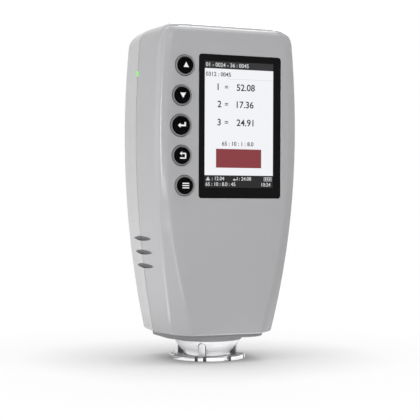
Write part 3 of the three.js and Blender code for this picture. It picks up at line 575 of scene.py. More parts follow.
def widths_at(height):
    """The taper at a height, the half widths of seam and ridge, and the ridge's drop behind the face."""
    share = (height - WIDEST_HEIGHT) / (WIDEST_HEIGHT - BODY_FLOOR)
    taper = share * share
    drop = RIDGE_DROP + (RIDGE_DROP_GROWTH * taper if height < WIDEST_HEIGHT else 0.0)
    return taper, SEAM_HALF_WIDTH - SEAM_NARROWING * taper, RIDGE_HALF_WIDTH - RIDGE_NARROWING * taper, drop


def half_ring(height, inset, front):
    """The outline of one shell at a height, from its right seam round to its left seam."""
    taper, seam_x, ridge_x, drop = widths_at(height)
    below_top = BODY_TOP - inset - height
    low = 0.0 if inset else edge_inset(height - BODY_FLOOR, BOTTOM_EDGE_RADIUS)
    narrow = inset + low + edge_inset(below_top, TOP_SIDE_RADIUS - inset)
    seam = Vector((seam_x - narrow, 0.0))
    if front:
        forward = FRONT_DEPTH - inset - low - edge_inset(below_top, TOP_FRONT_RADIUS - inset)
        corner = Vector((ridge_x - narrow, drop - forward))
        face = Vector((FACE_HALF_WIDTH - FACE_NARROWING * taper - narrow, -forward))
        arcs = rounded_corner(seam, corner, face, RIDGE_RADIUS - inset / 2)
        arcs += rounded_corner(corner, face, Vector((0, -forward)), FACE_EDGE_RADIUS)
    else:
        back = REAR_DEPTH - inset - low - edge_inset(below_top, TOP_REAR_RADIUS - inset)
        corner = Vector((REAR_HALF_WIDTH - REAR_NARROWING * taper - narrow, back))
        arcs = rounded_corner(seam, corner, Vector((0, back)), REAR_CORNER_RADIUS - inset)
    way = (corner - seam).normalized()
    edge = 0.0 if inset else SEAM_EDGE
    right = []
    for turn in quarter(SEAM_STEPS):
        along = SEAM_GAP / 2 + edge * (1 - cos(turn))
        right.append(seam + way * along + Vector((-edge * (1 - sin(turn)), 0)))
    right[0].y = -SEAM_GAP / 2 if front else SEAM_GAP / 2
    right += arcs
    left = [Vector((-point.x, point.y)) for point in reversed(right)]
    return [(point.x, point.y + AXIS_Y, height) for point in right + left]


def casing_heights(inset):
    """Heights of the casing's rings, closer together where its edges are round."""
    floor_height = BODY_FLOOR + inset
    heights = []
    if not inset:
        heights += [floor_height + BOTTOM_EDGE_RADIUS * (1 - cos(turn))
                    for turn in quarter(BOTTOM_STEPS)[:-1]]
        floor_height += BOTTOM_EDGE_RADIUS
    radius = TOP_SIDE_RADIUS - inset
    bend = BODY_TOP - inset - radius
    heights += [floor_height + (WIDEST_HEIGHT - floor_height) * i / LOWER_STEPS for i in range(LOWER_STEPS)]
    heights += [WIDEST_HEIGHT + (bend - WIDEST_HEIGHT) * i / UPPER_STEPS for i in range(UPPER_STEPS)]
    return heights + [bend + radius * sin(turn) for turn in quarter(TOP_STEPS)]


def shell(name, front):
    """A hollow half of the casing: its outer and inner skins, joined round the seam."""
    made = bmesh.new()
    skins = []
    for inset in (0.0, WALL):
        rings = [half_ring(height, inset, front) for height in casing_heights(inset)]
        skins.append([[made.verts.new(Vector(point) * MM) for point in ring] for ring in rings])
    rim_edges = []
    for rows in skins:
        for row, above in zip(rows, rows[1:]):
            for i in range(len(row) - 1):
                made.faces.new((row[i], row[i + 1], above[i + 1], above[i]))
        made.faces.new(rows[0])
        made.faces.new(rows[-1])
        rim = [row[0] for row in rows] + [row[-1] for row in reversed(rows)]
        rim_edges += [made.edges.get(pair) for pair in zip(rim, rim[1:] + rim[:1])]
    bmesh.ops.triangle_fill(made, edges=rim_edges, use_beauty=True)
    bmesh.ops.recalc_face_normals(made, faces=made.faces)
    mesh = bpy.data.meshes.new(name)
    made.to_mesh(mesh)
    made.free()
    tidy(mesh)
    shade(mesh)
    return link(name, mesh)


def side_at(height, ahead):
    """Half width of the casing's side at a height and a distance ahead of the seam."""
    _, seam, ridge, drop = widths_at(height)
    return seam + (ridge - seam) * (ahead / (FRONT_DEPTH - drop))


GROOVE_HEIGHTS = (68.9, 61.2, 53.5)
GROOVE_HALF_LENGTH = 15.0
GROOVE_HALF_HEIGHT = 1.35
GROOVE_DEPTH = 1.9
GROOVE_SQUARENESS = 0.6
GROOVE_TIP_SHARE = 0.004
GROOVE_AHEAD = 1.0
GROOVE_RINGS = 24
GROOVE_SIDES = 16


def groove_cutter(height, side):
    """A lens-shaped cut with pointed ends, across the seam."""
    surface = side * side_at(height, GROOVE_AHEAD)
    sections = []
    for i in range(GROOVE_RINGS + 1):
        share = -1 + 2 * i / GROOVE_RINGS
        swell = max(1 - share * share, GROOVE_TIP_SHARE)
        deep = GROOVE_DEPTH * swell ** GROOVE_SQUARENESS
        along = AXIS_Y - GROOVE_AHEAD + share * GROOVE_HALF_LENGTH
        ring = []
        for k in range(GROOVE_SIDES):
            turn = 2 * pi * k / GROOVE_SIDES
            out = copysign(abs(cos(turn)) ** GROOVE_SQUARENESS, cos(turn))
            ring.append((surface + deep * out, along, height + GROOVE_HALF_HEIGHT * swell * sin(turn)))
        sections.append(ring)
    return stack("groove", sections)


def groove_cutters(skin):
    """The cuts for both sides: the faces that they leave take a darker grey, painted shade in the grooves."""
    cutters = [groove_cutter(height, side) for height in GROOVE_HEIGHTS for side in (-1, 1)]
    return [two_tone(cutter, skin, GROOVE_PAINTED_SHADE, 1) for cutter in cutters]


LIGHT_HOLE_CORNER = 0.4


def light_cutter():
    (_, middle_z), _, half_z, _, _ = spans("status_light", "x")
    half = half_z + FIT / 2
    levels = plain_levels(-SEAM_HALF_WIDTH - OVERRUN, -SEAM_HALF_WIDTH / 2)
    return plate("cut", "x", half, half, LIGHT_HOLE_CORNER, (AXIS_Y, middle_z), levels, steps=3)


KEY_NAMES = ["button_up", "button_down", "button_enter", "button_back", "button_menu"]
KEY_BODIES = dict(zip(KEY_NAMES, ["up_key", "down_key", "enter_key", "back_key", "menu_key"]))
KEY_FLANGE = 0.9
KEY_EDGE = 0.55
KEY_DISH = 0.35
COLLAR_WIDTH = 0.9
COLLAR_HEIGHT = 0.6
COLLAR_EDGE = 0.28
COLLAR_GAP = 0.32


def key_collar(name):
    """The raised ring that stands in the shell round a key."""
    middle, half_x, _, _, _ = spans(name, "y")
    inner = half_x - KEY_FLANGE + FIT
    outer = inner + COLLAR_WIDTH
    crest = FRONT_Y - COLLAR_HEIGHT
    profile = [(inner, FRONT_Y + WALL)]
    profile += fillet(inner, crest, COLLAR_EDGE, -1, -1)
    profile += reversed(fillet(outer, crest, COLLAR_EDGE, 1, -1))
    profile += [(outer, FRONT_Y + WALL)]
    return revolve("collar", profile, "y", middle)


def key_collars():
    piece = joined("key_collars", [key_collar(name) for name in KEY_NAMES])
    finish(piece, KEY_COLLAR_GREY, "collar_grey")


def key_hole(name):
    middle, half_x, _, _, _ = spans(name, "y")
    steps = [(half_x - KEY_FLANGE + FIT + COLLAR_WIDTH + COLLAR_GAP, FRONT_Y + WALL + OVERRUN)]
    return round_hole("y", middle, FRONT_Y, steps, HOLE_EDGE / 2, ROUND)


GLASS_FIT = 0.12
GLASS_CORNER = 1.6
GLASS_EDGE = 0.15
POCKET_CORNER = 1.75


def window_pocket():
    levels = mouth_levels(FRONT_Y, WINDOW_BACK, GLASS_FIT)
    half_x = WINDOW_HALF_X + GLASS_FIT
    half_z = WINDOW_HALF_Z + GLASS_FIT
    return plate("cut", "y", half_x, half_z, POCKET_CORNER, WINDOW_MIDDLE, levels)


TEST_FLANGE = 0.9
POWER_FLANGE = 0.6
POWER_TRAVEL = 4.0
USB_CORNER_SHARE = 0.9


def side_hole(node, margin, corner_share=1.0, extra=0.0):
    """The hole in the right side for a control, with a slight chamfer at its mouth."""
    (middle_y, middle_z), half_y, half_z, _, _ = spans(node, "x")
    middle_z += extra / 2
    half_y += margin
    half_z += margin + extra / 2
    levels = mouth_levels(side_at(middle_z, AXIS_Y - middle_y), SEAM_HALF_WIDTH / 2)
    return plate("cut", "x", half_y, half_z, half_y * corner_share, (middle_y, middle_z), levels)


SPIGOT_INSET = 3.5
SPIGOT_CORNER = 8.0


def bottom_opening():
    _, half_x, half_y, _, _ = spans("base_plate", "z")
    inset = SPIGOT_INSET - FIT
    levels = plain_levels(BODY_FLOOR - OVERRUN, BODY_FLOOR + WALL + OVERRUN)
    return plate("cut", "z", half_x - inset, half_y - inset, SPIGOT_CORNER + FIT, (0.0, AXIS_Y), levels)


def front_shell():
    piece = two_tone(shell("front_casing", True), BODY_GREY, GROOVE_PAINTED_SHADE)
    cutters = [key_hole(name) for name in KEY_NAMES]
    cutters += [window_pocket(), bottom_opening(), light_cutter()]
    cutters += groove_cutters(BODY_GREY)
    cutters += [side_hole("test_button", FIT - TEST_FLANGE),
                side_hole("power_knob", FIT - POWER_FLANGE, extra=POWER_TRAVEL),
                side_hole("usb_port", FIT, USB_CORNER_SHARE)]
    boolean(piece, cutters)
    level_shading(piece)
    finish(piece, BODY_GREY, "body_grey", "front_shell")


SHELL_SCREWS = [f"shell_screw_{end}_{side}" for end in ("upper", "lower") for side in ("left", "right")]
SINK_RADIUS = 2.7
SINK_SEAT = AXIS_Y + 8.4
TOWER_RADIUS = 4.0
COVER_CORNER = 4.0
COVER_EDGE = 0.3
COVER_SINK_RADIUS = 2.6
COVER_SINK_DEPTH = 1.0
COVER_SCREW_HOLE = 1.3


def screw_sink(node):
    return round_hole("y", spans(node, "y")[0], BACK_Y, [(SINK_RADIUS, SINK_SEAT)], HOLE_EDGE, segments=32)


def screw_tower(node):
    """The moulded tube that holds one casing screw."""
    start = AXIS_Y + SEAM_GAP / 2
    end = BACK_Y - WALL / 2
    return rod("tower", "y", spans(node, "y")[0], TOWER_RADIUS, start, end, segments=32)


def cover_recess():
    middle, half_x, half_z, low, _ = spans("battery_cover", "y")
    levels = mouth_levels(BACK_Y, low)
    return plate("cut", "y", half_x + FIT, half_z + FIT, COVER_CORNER + FIT, middle, levels)


def rear_shell():
    piece = two_tone(shell("rear_casing", False), BODY_LIGHT, GROOVE_PAINTED_SHADE)
    boolean(piece, [screw_tower(node) for node in SHELL_SCREWS], "UNION")
    cutters = [screw_sink(node) for node in SHELL_SCREWS]
    cutters += [cover_recess(), bottom_opening(), light_cutter()]
    cutters += groove_cutters(BODY_LIGHT)
    boolean(piece, cutters)
    level_shading(piece)
    finish(piece, BODY_LIGHT, "body_light_grey", "rear_shell")


STRIP_RECESS = 0.12
STRIP_THICKNESS = 1.2


def seam_dark_strip():
    """A thin black strip in the gap between the two shells, from the right foot over the top to the left."""
    front = AXIS_Y - SEAM_GAP / 2
    back = AXIS_Y + SEAM_GAP / 2
    sections = []
    for way in (1, -1):
        half = []
        for outer, inner in zip(casing_heights(STRIP_RECESS), casing_heights(STRIP_THICKNESS)):
            outer_x = way * half_ring(outer, STRIP_RECESS, True)[0][0]
            inner_x = way * half_ring(inner, STRIP_THICKNESS, True)[0][0]
            half.append([(outer_x, front, outer), (outer_x, back, outer),
                         (inner_x, back, inner), (inner_x, front, inner)])
        sections += half if way > 0 else reversed(half)
    piece = stack("seam_dark_strip", sections)
    boolean(piece, [light_cutter()] + groove_cutters(BLACK_PLASTIC))
    finish(piece, BLACK_PLASTIC, "black_plastic")


def battery_cover():
    middle, half_x, half_z, low, high = spans("battery_cover", "y")
    levels = soft_levels(low, high, COVER_EDGE)
    piece = plate("battery_door", "y", half_x, half_z, COVER_CORNER, middle, levels)
    steps = [(COVER_SINK_RADIUS, high - COVER_SINK_DEPTH), (COVER_SCREW_HOLE, low - OVERRUN)]
    boolean(piece, [round_hole("y", spans("cover_screw", "y")[0], high, steps, HOLE_EDGE, segments=40)])
    finish(piece, BODY_LIGHT, "body_light_grey", "battery_cover")


# Screen

LIT_LEFT = -14.6
LIT_RIGHT = 27.1
LIT_BOTTOM = 97.5
LIT_TOP = 167.1
STATUS_TOP = 104.3
TITLE_BOTTOM = 163.1
LAYER = 0.03
LAYER_SHARE = 0.6
MARK_LAYER = 2
TEXT_WEIGHT = 0.022
CAPITAL_SHARE = 0.72
THIN_LINE = 0.25
ARROW_LINE = 0.4


def glass():
    levels = soft_levels(WINDOW_FRONT, WINDOW_BACK, GLASS_EDGE)
    piece = plate("screen_glass", "y", WINDOW_HALF_X, WINDOW_HALF_Z, GLASS_CORNER, WINDOW_MIDDLE, levels)
    finish(piece, SCREEN_GLASS, "screen_glass", "screen_window")


def flat(name, outline, layer=MARK_LAYER):
    """A thin plate on the glass from an outline of (x, z) points."""
    front = WINDOW_FRONT - LAYER * layer
    back = front + LAYER * LAYER_SHARE
    return stack(name, [[(x, back, z) for x, z in outline], [(x, front, z) for x, z in outline]])


def rectangle(left, right, bottom, top):
    return [(left, bottom), (right, bottom), (right, top), (left, top)]


def lettering(text, left, middle, height):
    """Plain characters on the glass, standing to the right of left."""
    curve = bpy.data.curves.new("text", "FONT")
    curve.body = text
    curve.size = height * MM / CAPITAL_SHARE
    curve.extrude = LAYER * LAYER_SHARE / 2 * MM
    curve.offset = height * TEXT_WEIGHT * MM
    curve.align_y = "CENTER"
    holder = link("text", curve)
    mesh = evaluated_mesh(holder)
    bpy.data.objects.remove(holder)
    front = (WINDOW_FRONT - LAYER * (MARK_LAYER - LAYER_SHARE / 2)) * MM
    low = min(vertex.co.x for vertex in mesh.vertices)
    upright = Matrix.Rotation(pi / 2, 4, "X")
    mesh.transform(Matrix.Translation((left * MM - low, front, middle * MM)) @ upright)
    return link("text", mesh)


def stroke(points, width):
    """A line of constant width through (x, z) points, as flat pieces."""
    pieces = []
    for start, stop in zip(map(Vector, points), map(Vector, points[1:])):
        end = (stop - start).normalized() * width / 2
        side = Vector((-end.y, end.x))
        outline = [start - side - end, stop - side + end, stop + side + end, start + side - end]
        pieces.append(flat("line", outline))
    return pieces


SCREEN_AREAS = [
    ("screen_page", (LIT_LEFT, LIT_RIGHT, STATUS_TOP, TITLE_BOTTOM), 1, SCREEN_WHITE),
    ("screen_title_bar", (LIT_LEFT, LIT_RIGHT, TITLE_BOTTOM, LIT_TOP), 1, SCREEN_BAR),
    ("screen_foot_bar", (LIT_LEFT, LIT_RIGHT, LIT_BOTTOM, STATUS_TOP), 1, SCREEN_FOOT),
    ("screen_colour_patch", (-7.8, 19.8, 108.5, 118.9), MARK_LAYER, SCREEN_PATCH),
    ("screen_rule", (-1.2, 26.8, 157.5, 157.8), MARK_LAYER, SCREEN_LINE),
]

# Texts of the screen, each with its left end, its middle height and its size
DARK_TEXTS = [("0312 : 0045", -14.0, 159.9, 2.3)]
for label, value, reading_height in (("1", "52.08", 152.9), ("2", "17.36", 143.4), ("3", "24.91", 133.4)):
    DARK_TEXTS += [(label, -7.0, reading_height, 3.7), ("=", -2.6, reading_height, 2.9),
                   (value, 4.6, reading_height, 3.7)]
DARK_TEXTS += [("65 : 10 : 1 : 8.0", -4.2, 121.7, 2.3)]
PALE_TEXTS = [
    ("01 - 0024 - 36 : 0045", -14.0, 165.1, 2.2),
    (": 12.04", -10.2, 102.4, 2.0),
    (": 24.08", 6.2, 102.4, 2.0),
    ("65 : 10 : 8.0 : 45", -14.0, 99.3, 2.0),
    ("10:24", 20.0, 99.2, 2.0),
]
PALE_ARROWS = [[(-13.9, 101.4), (-11.3, 101.4), (-12.6, 103.6)], [(3.6, 101.1), (3.6, 102.7), (2.4, 101.9)]]
ARROW_SHAFT = [(5.2, 103.2), (5.2, 101.9), (3.4, 101.9)]
BATTERY_OUTLINE = rectangle(21.6, 26.2, 101.4, 103.4)
BATTERY_BARS = [rectangle(left, left + 0.8, 101.8, 103.0) for left in (22.2, 23.5, 24.8)]


def screen_content():
    for name, extent, layer, material in SCREEN_AREAS:
        finish(flat(name, rectangle(*extent), layer), material, "display")
    dark = [lettering(*text) for text in DARK_TEXTS]
    finish(joined("screen_dark_marks", dark), SCREEN_INK, "display")
    pale = [lettering(*text) for text in PALE_TEXTS]
    pale += [flat("mark", outline) for outline in PALE_ARROWS + BATTERY_BARS]
    pale += stroke(ARROW_SHAFT, ARROW_LINE)
    pale += stroke(BATTERY_OUTLINE + BATTERY_OUTLINE[:1], THIN_LINE)
    finish(joined("screen_pale_marks", pale), SCREEN_PALE, "display")


# Keys

DISH_SHARES = (0.95, 0.88, 0.8, 0.7)
DISH_FLAT_SHARE = 0.7
KEY_SMOOTH_ANGLE = 60
ICON_THICKNESS = 0.06
MENU_BAR_HALF_WIDTH = 1.95
MENU_BAR_HALF_HEIGHT = 0.29

# Outlines of each key's white symbol, from the key's middle
ICONS = {
    "button_up": [[(-1.6, -1.2), (1.6, -1.2), (0.0, 1.7)]],
    "button_down": [[(-1.7, 1.3), (0.0, -1.6), (1.7, 1.3)]],
    "button_enter": [
        [(-0.9, -0.55), (2.3, -0.55), (2.3, 1.7), (1.4, 1.7), (1.4, 0.35), (-0.9, 0.35)],
        [(-0.9, -1.4), (-0.9, 1.2), (-2.4, -0.1)],
    ],
    "button_back": [
        [(-0.6, 0.75), (1.0, 0.75), (1.2, 0.5), (1.2, -0.9), (1.0, -1.1), (-1.7, -1.1), (-1.7, -1.8),
         (1.5, -1.8), (1.95, -1.35), (1.95, 0.95), (1.5, 1.45), (-0.6, 1.45)],
        [(-0.6, 0.0), (-0.6, 2.1), (-1.9, 1.1)],
    ],
    "button_menu": [
        rectangle(-MENU_BAR_HALF_WIDTH, MENU_BAR_HALF_WIDTH, level - MENU_BAR_HALF_HEIGHT,
                  level + MENU_BAR_HALF_HEIGHT) for level in (1.24, 0.0, -1.24)
    ],
}


def key(name):
    """A key's cap with its dished top, and the white symbol on it."""
    (x, z), half_x, _, front, back = spans(name, "y")
    radius = half_x - KEY_FLANGE
    shoulder = back - KEY_FLANGE
    profile = [(0.0, back), (half_x, back), (half_x, shoulder), (radius, shoulder)]
    profile += fillet(radius, front, KEY_EDGE, 1, -1, steps=6)
    top = front + KEY_DISH
    for share in DISH_SHARES:
        ease = (share - DISH_FLAT_SHARE) / (1 - DISH_FLAT_SHARE)
        profile.append(((radius - KEY_EDGE) * share, top - KEY_DISH * ease * ease))
    profile.append((0.0, top))
    piece = revolve(name + "_cap", profile, "y", (x, z), angle=KEY_SMOOTH_ANGLE)
    finish(piece, KEY_BLACK, "key_rubber", name, body=KEY_BODIES[name])
    marks = []
    for outline in ICONS[name]:
        ends = (top + ICON_THICKNESS, top - ICON_THICKNESS)
        marks.append(stack("mark", [[(x + u, end, z + v) for u, v in outline] for end in ends]))
    finish(joined(name + "_symbol", marks), KEY_WHITE, "key_rubber", body=KEY_BODIES[name])


# Side controls

TEST_CAP_DEPTH = 3.9
TEST_FLANGE_DEPTH = 4.0
TEST_STEM_RADIUS = 1.2
TEST_STEM_DEPTH = 3.95
TEST_EDGE = 0.7
TEST_DISH = ((0.02, 1.6), (0.25, 2.4), (0.35, 3.2))
KNOB_FOOT = 1.2
KNOB_CAP_START = 1.0
KNOB_EDGE = 0.3
KNOB_GRIPS = (-2.0, -1.0, 0.0, 1.0, 2.0)
GRIP_HALF_LENGTH = 2.4
GRIP_HALF_WIDTH = 0.22
GRIP_CORNER = 0.2
GRIP_DEPTH = 0.35


def test_button():
    middle, half_y, half_z, low, high = spans("test_button", "x")
    half_y -= TEST_FLANGE
    half_z -= TEST_FLANGE
    levels = [(high - TEST_FLANGE_DEPTH, -TEST_FLANGE), (high - TEST_CAP_DEPTH, -TEST_FLANGE),
              (high - TEST_CAP_DEPTH, 0.0)]
    levels += edge_levels(high, -TEST_EDGE, steps=5)[::-1]
    levels += [(high - deep, inset) for deep, inset in TEST_DISH]
    cap = plate("cap", "x", half_y, half_z, half_y, middle, levels, steps=10)
    stem = rod("stem", "x", middle, TEST_STEM_RADIUS, low, high - TEST_STEM_DEPTH, segments=24)
    piece = joined("test_button_cap", [cap, stem])
    finish(piece, BLACK_PLASTIC, "key_rubber", "test_button", body="test_trigger")


def power_knob():
    middle, full_y, full_z, low, high = spans("power_knob", "x")
    half_y = full_y - POWER_FLANGE
    half_z = full_z - POWER_FLANGE
    foot = plate("foot", "x", full_y, full_z, half_y, middle, plain_levels(low, low + KNOB_FOOT))
    cap_levels = soft_levels(low + KNOB_CAP_START, high, KNOB_EDGE)
    cap = plate("cap", "x", half_y, half_z, half_y, middle, cap_levels)
    levels = plain_levels(high - GRIP_DEPTH, high + OVERRUN)
    cuts = []
    for shift in KNOB_GRIPS:
        centre = (middle[0], middle[1] + shift)
        cut = plate("cut", "x", GRIP_HALF_LENGTH, GRIP_HALF_WIDTH, GRIP_CORNER, centre, levels, steps=3)
        cuts.append(cut)
    boolean(cap, cuts)
    piece = joined("power_knob_cap", [foot, cap])
    finish(piece, BLACK_PLASTIC, "key_rubber", "power_knob", body="power_slider")


USB_CORNER_INSET = 0.1
USB_EDGE = 0.12
USB_WALL = 0.35
USB_FLOOR = 3.0
TONGUE_HALF_WIDTH = 0.35
TONGUE_INSET = 1.3
TONGUE_CORNER = 0.2
TONGUE_START = 2.5
TONGUE_RECESS = 0.6
TONGUE_EDGE = 0.1


def usb_port():
    middle, half_y, half_z, low, high = spans("usb_port", "x")
    corner = half_y - USB_CORNER_INSET
    piece = plate("usb_socket", "x", half_y, half_z, corner, middle, soft_levels(low, high, USB_EDGE))
    levels = plain_levels(low + USB_FLOOR, high + OVERRUN)
    cut = plate("cut", "x", half_y - USB_WALL, half_z - USB_WALL, corner - USB_WALL, middle, levels)
    boolean(piece, [cut])
    finish(piece, ALUMINIUM, "aluminium", "usb_port")
    levels = soft_levels(low + TONGUE_START, high - TONGUE_RECESS, TONGUE_EDGE)
    tongue = plate("usb_tongue", "x", TONGUE_HALF_WIDTH, half_z - TONGUE_INSET, TONGUE_CORNER, middle, levels)
    finish(tongue, BLACK_PLASTIC, "black_plastic")


LIGHT_CORNER = 0.5
LIGHT_EDGE = 0.25
LIGHT_LEG_CORNER = 0.3
LIGHT_LEG_DEPTH = 2.0


def status_light():
    middle, half_y, half, low, high = spans("status_light", "x")
    levels = soft_levels(low, high, LIGHT_EDGE)
    head = plate("head", "x", half, half, LIGHT_CORNER, (AXIS_Y, middle[1]), levels)
    levels = plain_levels(high - LIGHT_LEG_DEPTH, high)
    leg = plate("leg", "x", half_y, half, LIGHT_LEG_CORNER, middle, levels)
    finish(joined("light_pipe", [head, leg]), LED_GREEN, "green_light", "status_light")


# Screws

BASE_SCREWS = [f"base_screw_{end}_{side}" for end in ("front", "rear") for side in ("left", "right")]
SCREW_EDGE = 0.5
CROSS_HALF_LENGTH = 1.3
CROSS_HALF_WIDTH = 0.38
CROSS_DEPTH = 0.8
CROSS_CORNER = 0.05
SCREW_RADIUS = 2.4
SCREW_SHANK = 1.15
SCREW_HEAD = 1.6
COVER_SCREW_RADIUS = 2.3
COVER_SCREW_SHANK = 0.95
COVER_SCREW_RECESS = 0.1
BASE_SCREW_SEAT = 14.9
BASE_SCREW_TOP = 13.1


def screw(node, axis, seat, top, radius=SCREW_RADIUS, shank=SCREW_SHANK):
    """A pan head with a cross recess, on its shank."""
    centre, _, _, low, high = spans(node, axis)
    way = 1 if top > seat else -1
    far = low if way > 0 else high
    profile = [(0.0, far), (shank, far), (shank, seat), (radius, seat)]
    profile += fillet(radius, top, SCREW_EDGE, 1, way, steps=5)
    piece = revolve(node + "_fine", profile + [(0.0, top)], axis, centre, segments=40)
    levels = plain_levels(top - way * CROSS_DEPTH, top + way * OVERRUN)
    cuts = []
    for half_u, half_v in ((CROSS_HALF_LENGTH, CROSS_HALF_WIDTH), (CROSS_HALF_WIDTH, CROSS_HALF_LENGTH)):
        cuts.append(plate("cut", axis, half_u, half_v, CROSS_CORNER, centre, levels, steps=2))
    boolean(piece, cuts)
    finish(piece, SCREW_STEEL, "screw_steel", node)


def screws():
    for node in SHELL_SCREWS:
        screw(node, "y", SINK_SEAT, SINK_SEAT + SCREW_HEAD)
    screw("cover_screw", "y", BACK_Y - COVER_SINK_DEPTH, BACK_Y - COVER_SCREW_RECESS,
          COVER_SCREW_RADIUS, COVER_SCREW_SHANK)
    for node in BASE_SCREWS:
        screw(node, "z", BASE_SCREW_SEAT, BASE_SCREW_TOP)


# Base, nose and locating plate

AXIS = (0.0, AXIS_Y)
BASE_BORE = 16.3
BASE_EDGE = 0.9
BASE_REVEAL = 0.6
BASE_CORNER = 13.0
BASE_SINK_DEPTH = 1.8
BASE_SCREW_HOLE = 1.5


def base_plate():
    _, half_x, half_y, low, high = spans("base_plate", "z")
    reveal = BODY_FLOOR - BASE_REVEAL
    levels = edge_levels(low, BASE_EDGE, steps=6)
    levels += [(reveal, 0.0), (reveal, BASE_REVEAL), (BODY_FLOOR, BASE_REVEAL)]
    skirt = plate("base_skirt", "z", half_x, half_y, BASE_CORNER, AXIS, levels, steps=16)
    spigot = plate("spigot", "z", half_x - SPIGOT_INSET, half_y - SPIGOT_INSET, SPIGOT_CORNER, AXIS,
                   plain_levels(BODY_FLOOR - OVERRUN, high))
    boolean(skirt, [spigot], "UNION")
    cuts = [rod("cut", "z", AXIS, BASE_BORE, low - OVERRUN, high + OVERRUN, segments=96)]
    steps = [(SINK_RADIUS, low + BASE_SINK_DEPTH), (BASE_SCREW_HOLE, high + OVERRUN)]
    for node in BASE_SCREWS:
        cuts.append(round_hole("z", spans(node, "z")[0], low, steps, HOLE_EDGE, segments=32))
    boolean(skirt, cuts)
    finish(skirt, BASE_GREY, "dark_plastic", "base_plate")


NOSE_COLLAR_BORE = 12.7
NOSE_COLLAR_EDGE = 0.5
NOSE_COLLAR_RIM = 2.1


def nose_collar():
    _, outer, _, low, high = spans("nose_collar", "z")
    neck = BASE_BORE - FIT
    profile = [(NOSE_COLLAR_BORE, low)]
    profile += reversed(fillet(outer, low, NOSE_COLLAR_EDGE, 1, -1))
    profile += [(outer, low + NOSE_COLLAR_RIM), (neck, low + NOSE_COLLAR_RIM), (neck, high),
                (NOSE_COLLAR_BORE, high)]
    piece = revolve("nose_collar_ring", profile, "z", AXIS, segments=128)
    finish(piece, COLLAR_GREY, "collar_grey", "nose_collar")


CLIP_TURNS = [radians(56.8 + 90 * i) for i in range(4)]
CLIP_INNER = 13.6
CLIP_OUTER = 17.0
CLIP_WIDTH = 3.9
CLIP_TOP = 9.9
CLIP_SEAT = 0.1
CLIP_EDGE = 0.25
CROWN_STEPS = 16
PLATE_RADIUS = 21.7
PLATE_BORE = 14.5
PLATE_THICKNESS = 2.65
PLATE_EDGE = 0.3
PLATE_SOFTNESS = 0.12
FLANK_SHARE = 0.7
FACE_SHARE = 0.9
SLOT_OUTER = 6.6
SLOT_INNER = 3.0
SLOT_DEPTH = 2.6
NOTCH_ANGLE = 42
NOTCH_WIDTH = 4.8
NOTCH_DEPTH = 2.2
NOTCH_OVERRUN = 2.0


def spoke(name, inner, outer, width, bottom, top, turn, crown=False, shift=0.0):
    """A block that reaches outwards from the axis, with a rounded top if crown is set."""
    outline = [(-width / 2, bottom), (width / 2, bottom)]
    if crown:
        middle = top - width / 2
        for i in range(CROWN_STEPS + 1):
            angle = pi * i / CROWN_STEPS
            outline.append((width / 2 * cos(angle), middle + width / 2 * sin(angle)))
    else:
        outline += [(width / 2, top), (-width / 2, top)]
    sections = []
    for reach in (inner, outer):
        ring = []
        for across, height in outline:
            x = reach * cos(turn) - (across + shift) * sin(turn)
            y = reach * sin(turn) + (across + shift) * cos(turn)
            ring.append((x, y + AXIS_Y, height))
        sections.append(ring)
    return stack(name, sections)


CONE_TIP = 0.9
CONE_FLOOR = 1.2
CONE_FLOOR_BORE = 5.5
CONE_CUP_RADIUS = 8.0
CONE_NECK = 12.4
CONE_TOP = 11.0
CONE_SWEEP = 21.0

# The cone's flare, as its radius at heights above the foot of its CAD solid, then below its top
CONE_FLARE = [(12.0, -CONE_TIP), (12.4, -0.82), (12.75, -0.58), (13.1, 0.15), (13.6, 0.75), (14.75, 1.75),
              (15.8, 2.9), (16.8, 4.15), (17.6, 5.35), (18.3, 6.5), (18.9, 7.35)]
CONE_TOP_EDGE = [(19.2, 0.06), (19.0, 0.0)]


def nose_cone():
    _, _, _, foot, high = spans("nose_cone", "z")
    profile = [(CONE_FLOOR_BORE, foot - CONE_TIP)]
    profile += [(radius, foot + rise) for radius, rise in CONE_FLARE]
    profile += [(radius, CONE_TOP - drop) for radius, drop in CONE_TOP_EDGE]
    profile += [(CONE_NECK, CONE_TOP), (CONE_NECK, high), (CONE_CUP_RADIUS, high),
                (CONE_CUP_RADIUS, foot + CONE_FLOOR), (CONE_FLOOR_BORE, foot + CONE_FLOOR)]
    piece = revolve("nose_cone_shell", profile, "z", AXIS, segments=128)
    boolean(piece, [spoke("cut", CLIP_INNER - FIT, CONE_SWEEP, CLIP_WIDTH + 2 * FIT, 0.0, CLIP_TOP + FIT,
                          turn, crown=True) for turn in CLIP_TURNS])
    finish(piece, CONE_WHITE, "white_resin", "nose_cone")


def plate_cut(inner, outer, width, turn, shift=0.0):
    """A cut through the locating plate whose faces take a darker steel as painted shade."""
    cut = spoke("cut", inner, outer, width, -OVERRUN, PLATE_THICKNESS + OVERRUN, turn, shift=shift)
    return two_tone(cut, PLATE_STEEL, STEEL_PAINTED_SHADE, 1)


def plate_notch(turn):
    """A plain notch in the rim: only its flanks take the painted shade."""
    notch = plate_cut(PLATE_RADIUS - NOTCH_DEPTH, PLATE_RADIUS + NOTCH_OVERRUN, NOTCH_WIDTH, turn)
    outwards = Vector((cos(turn), sin(turn), 0.0))
    for face in notch.data.polygons:
        if abs(face.normal.dot(outwards)) > FLANK_SHARE:
            face.material_index = 0
    return notch


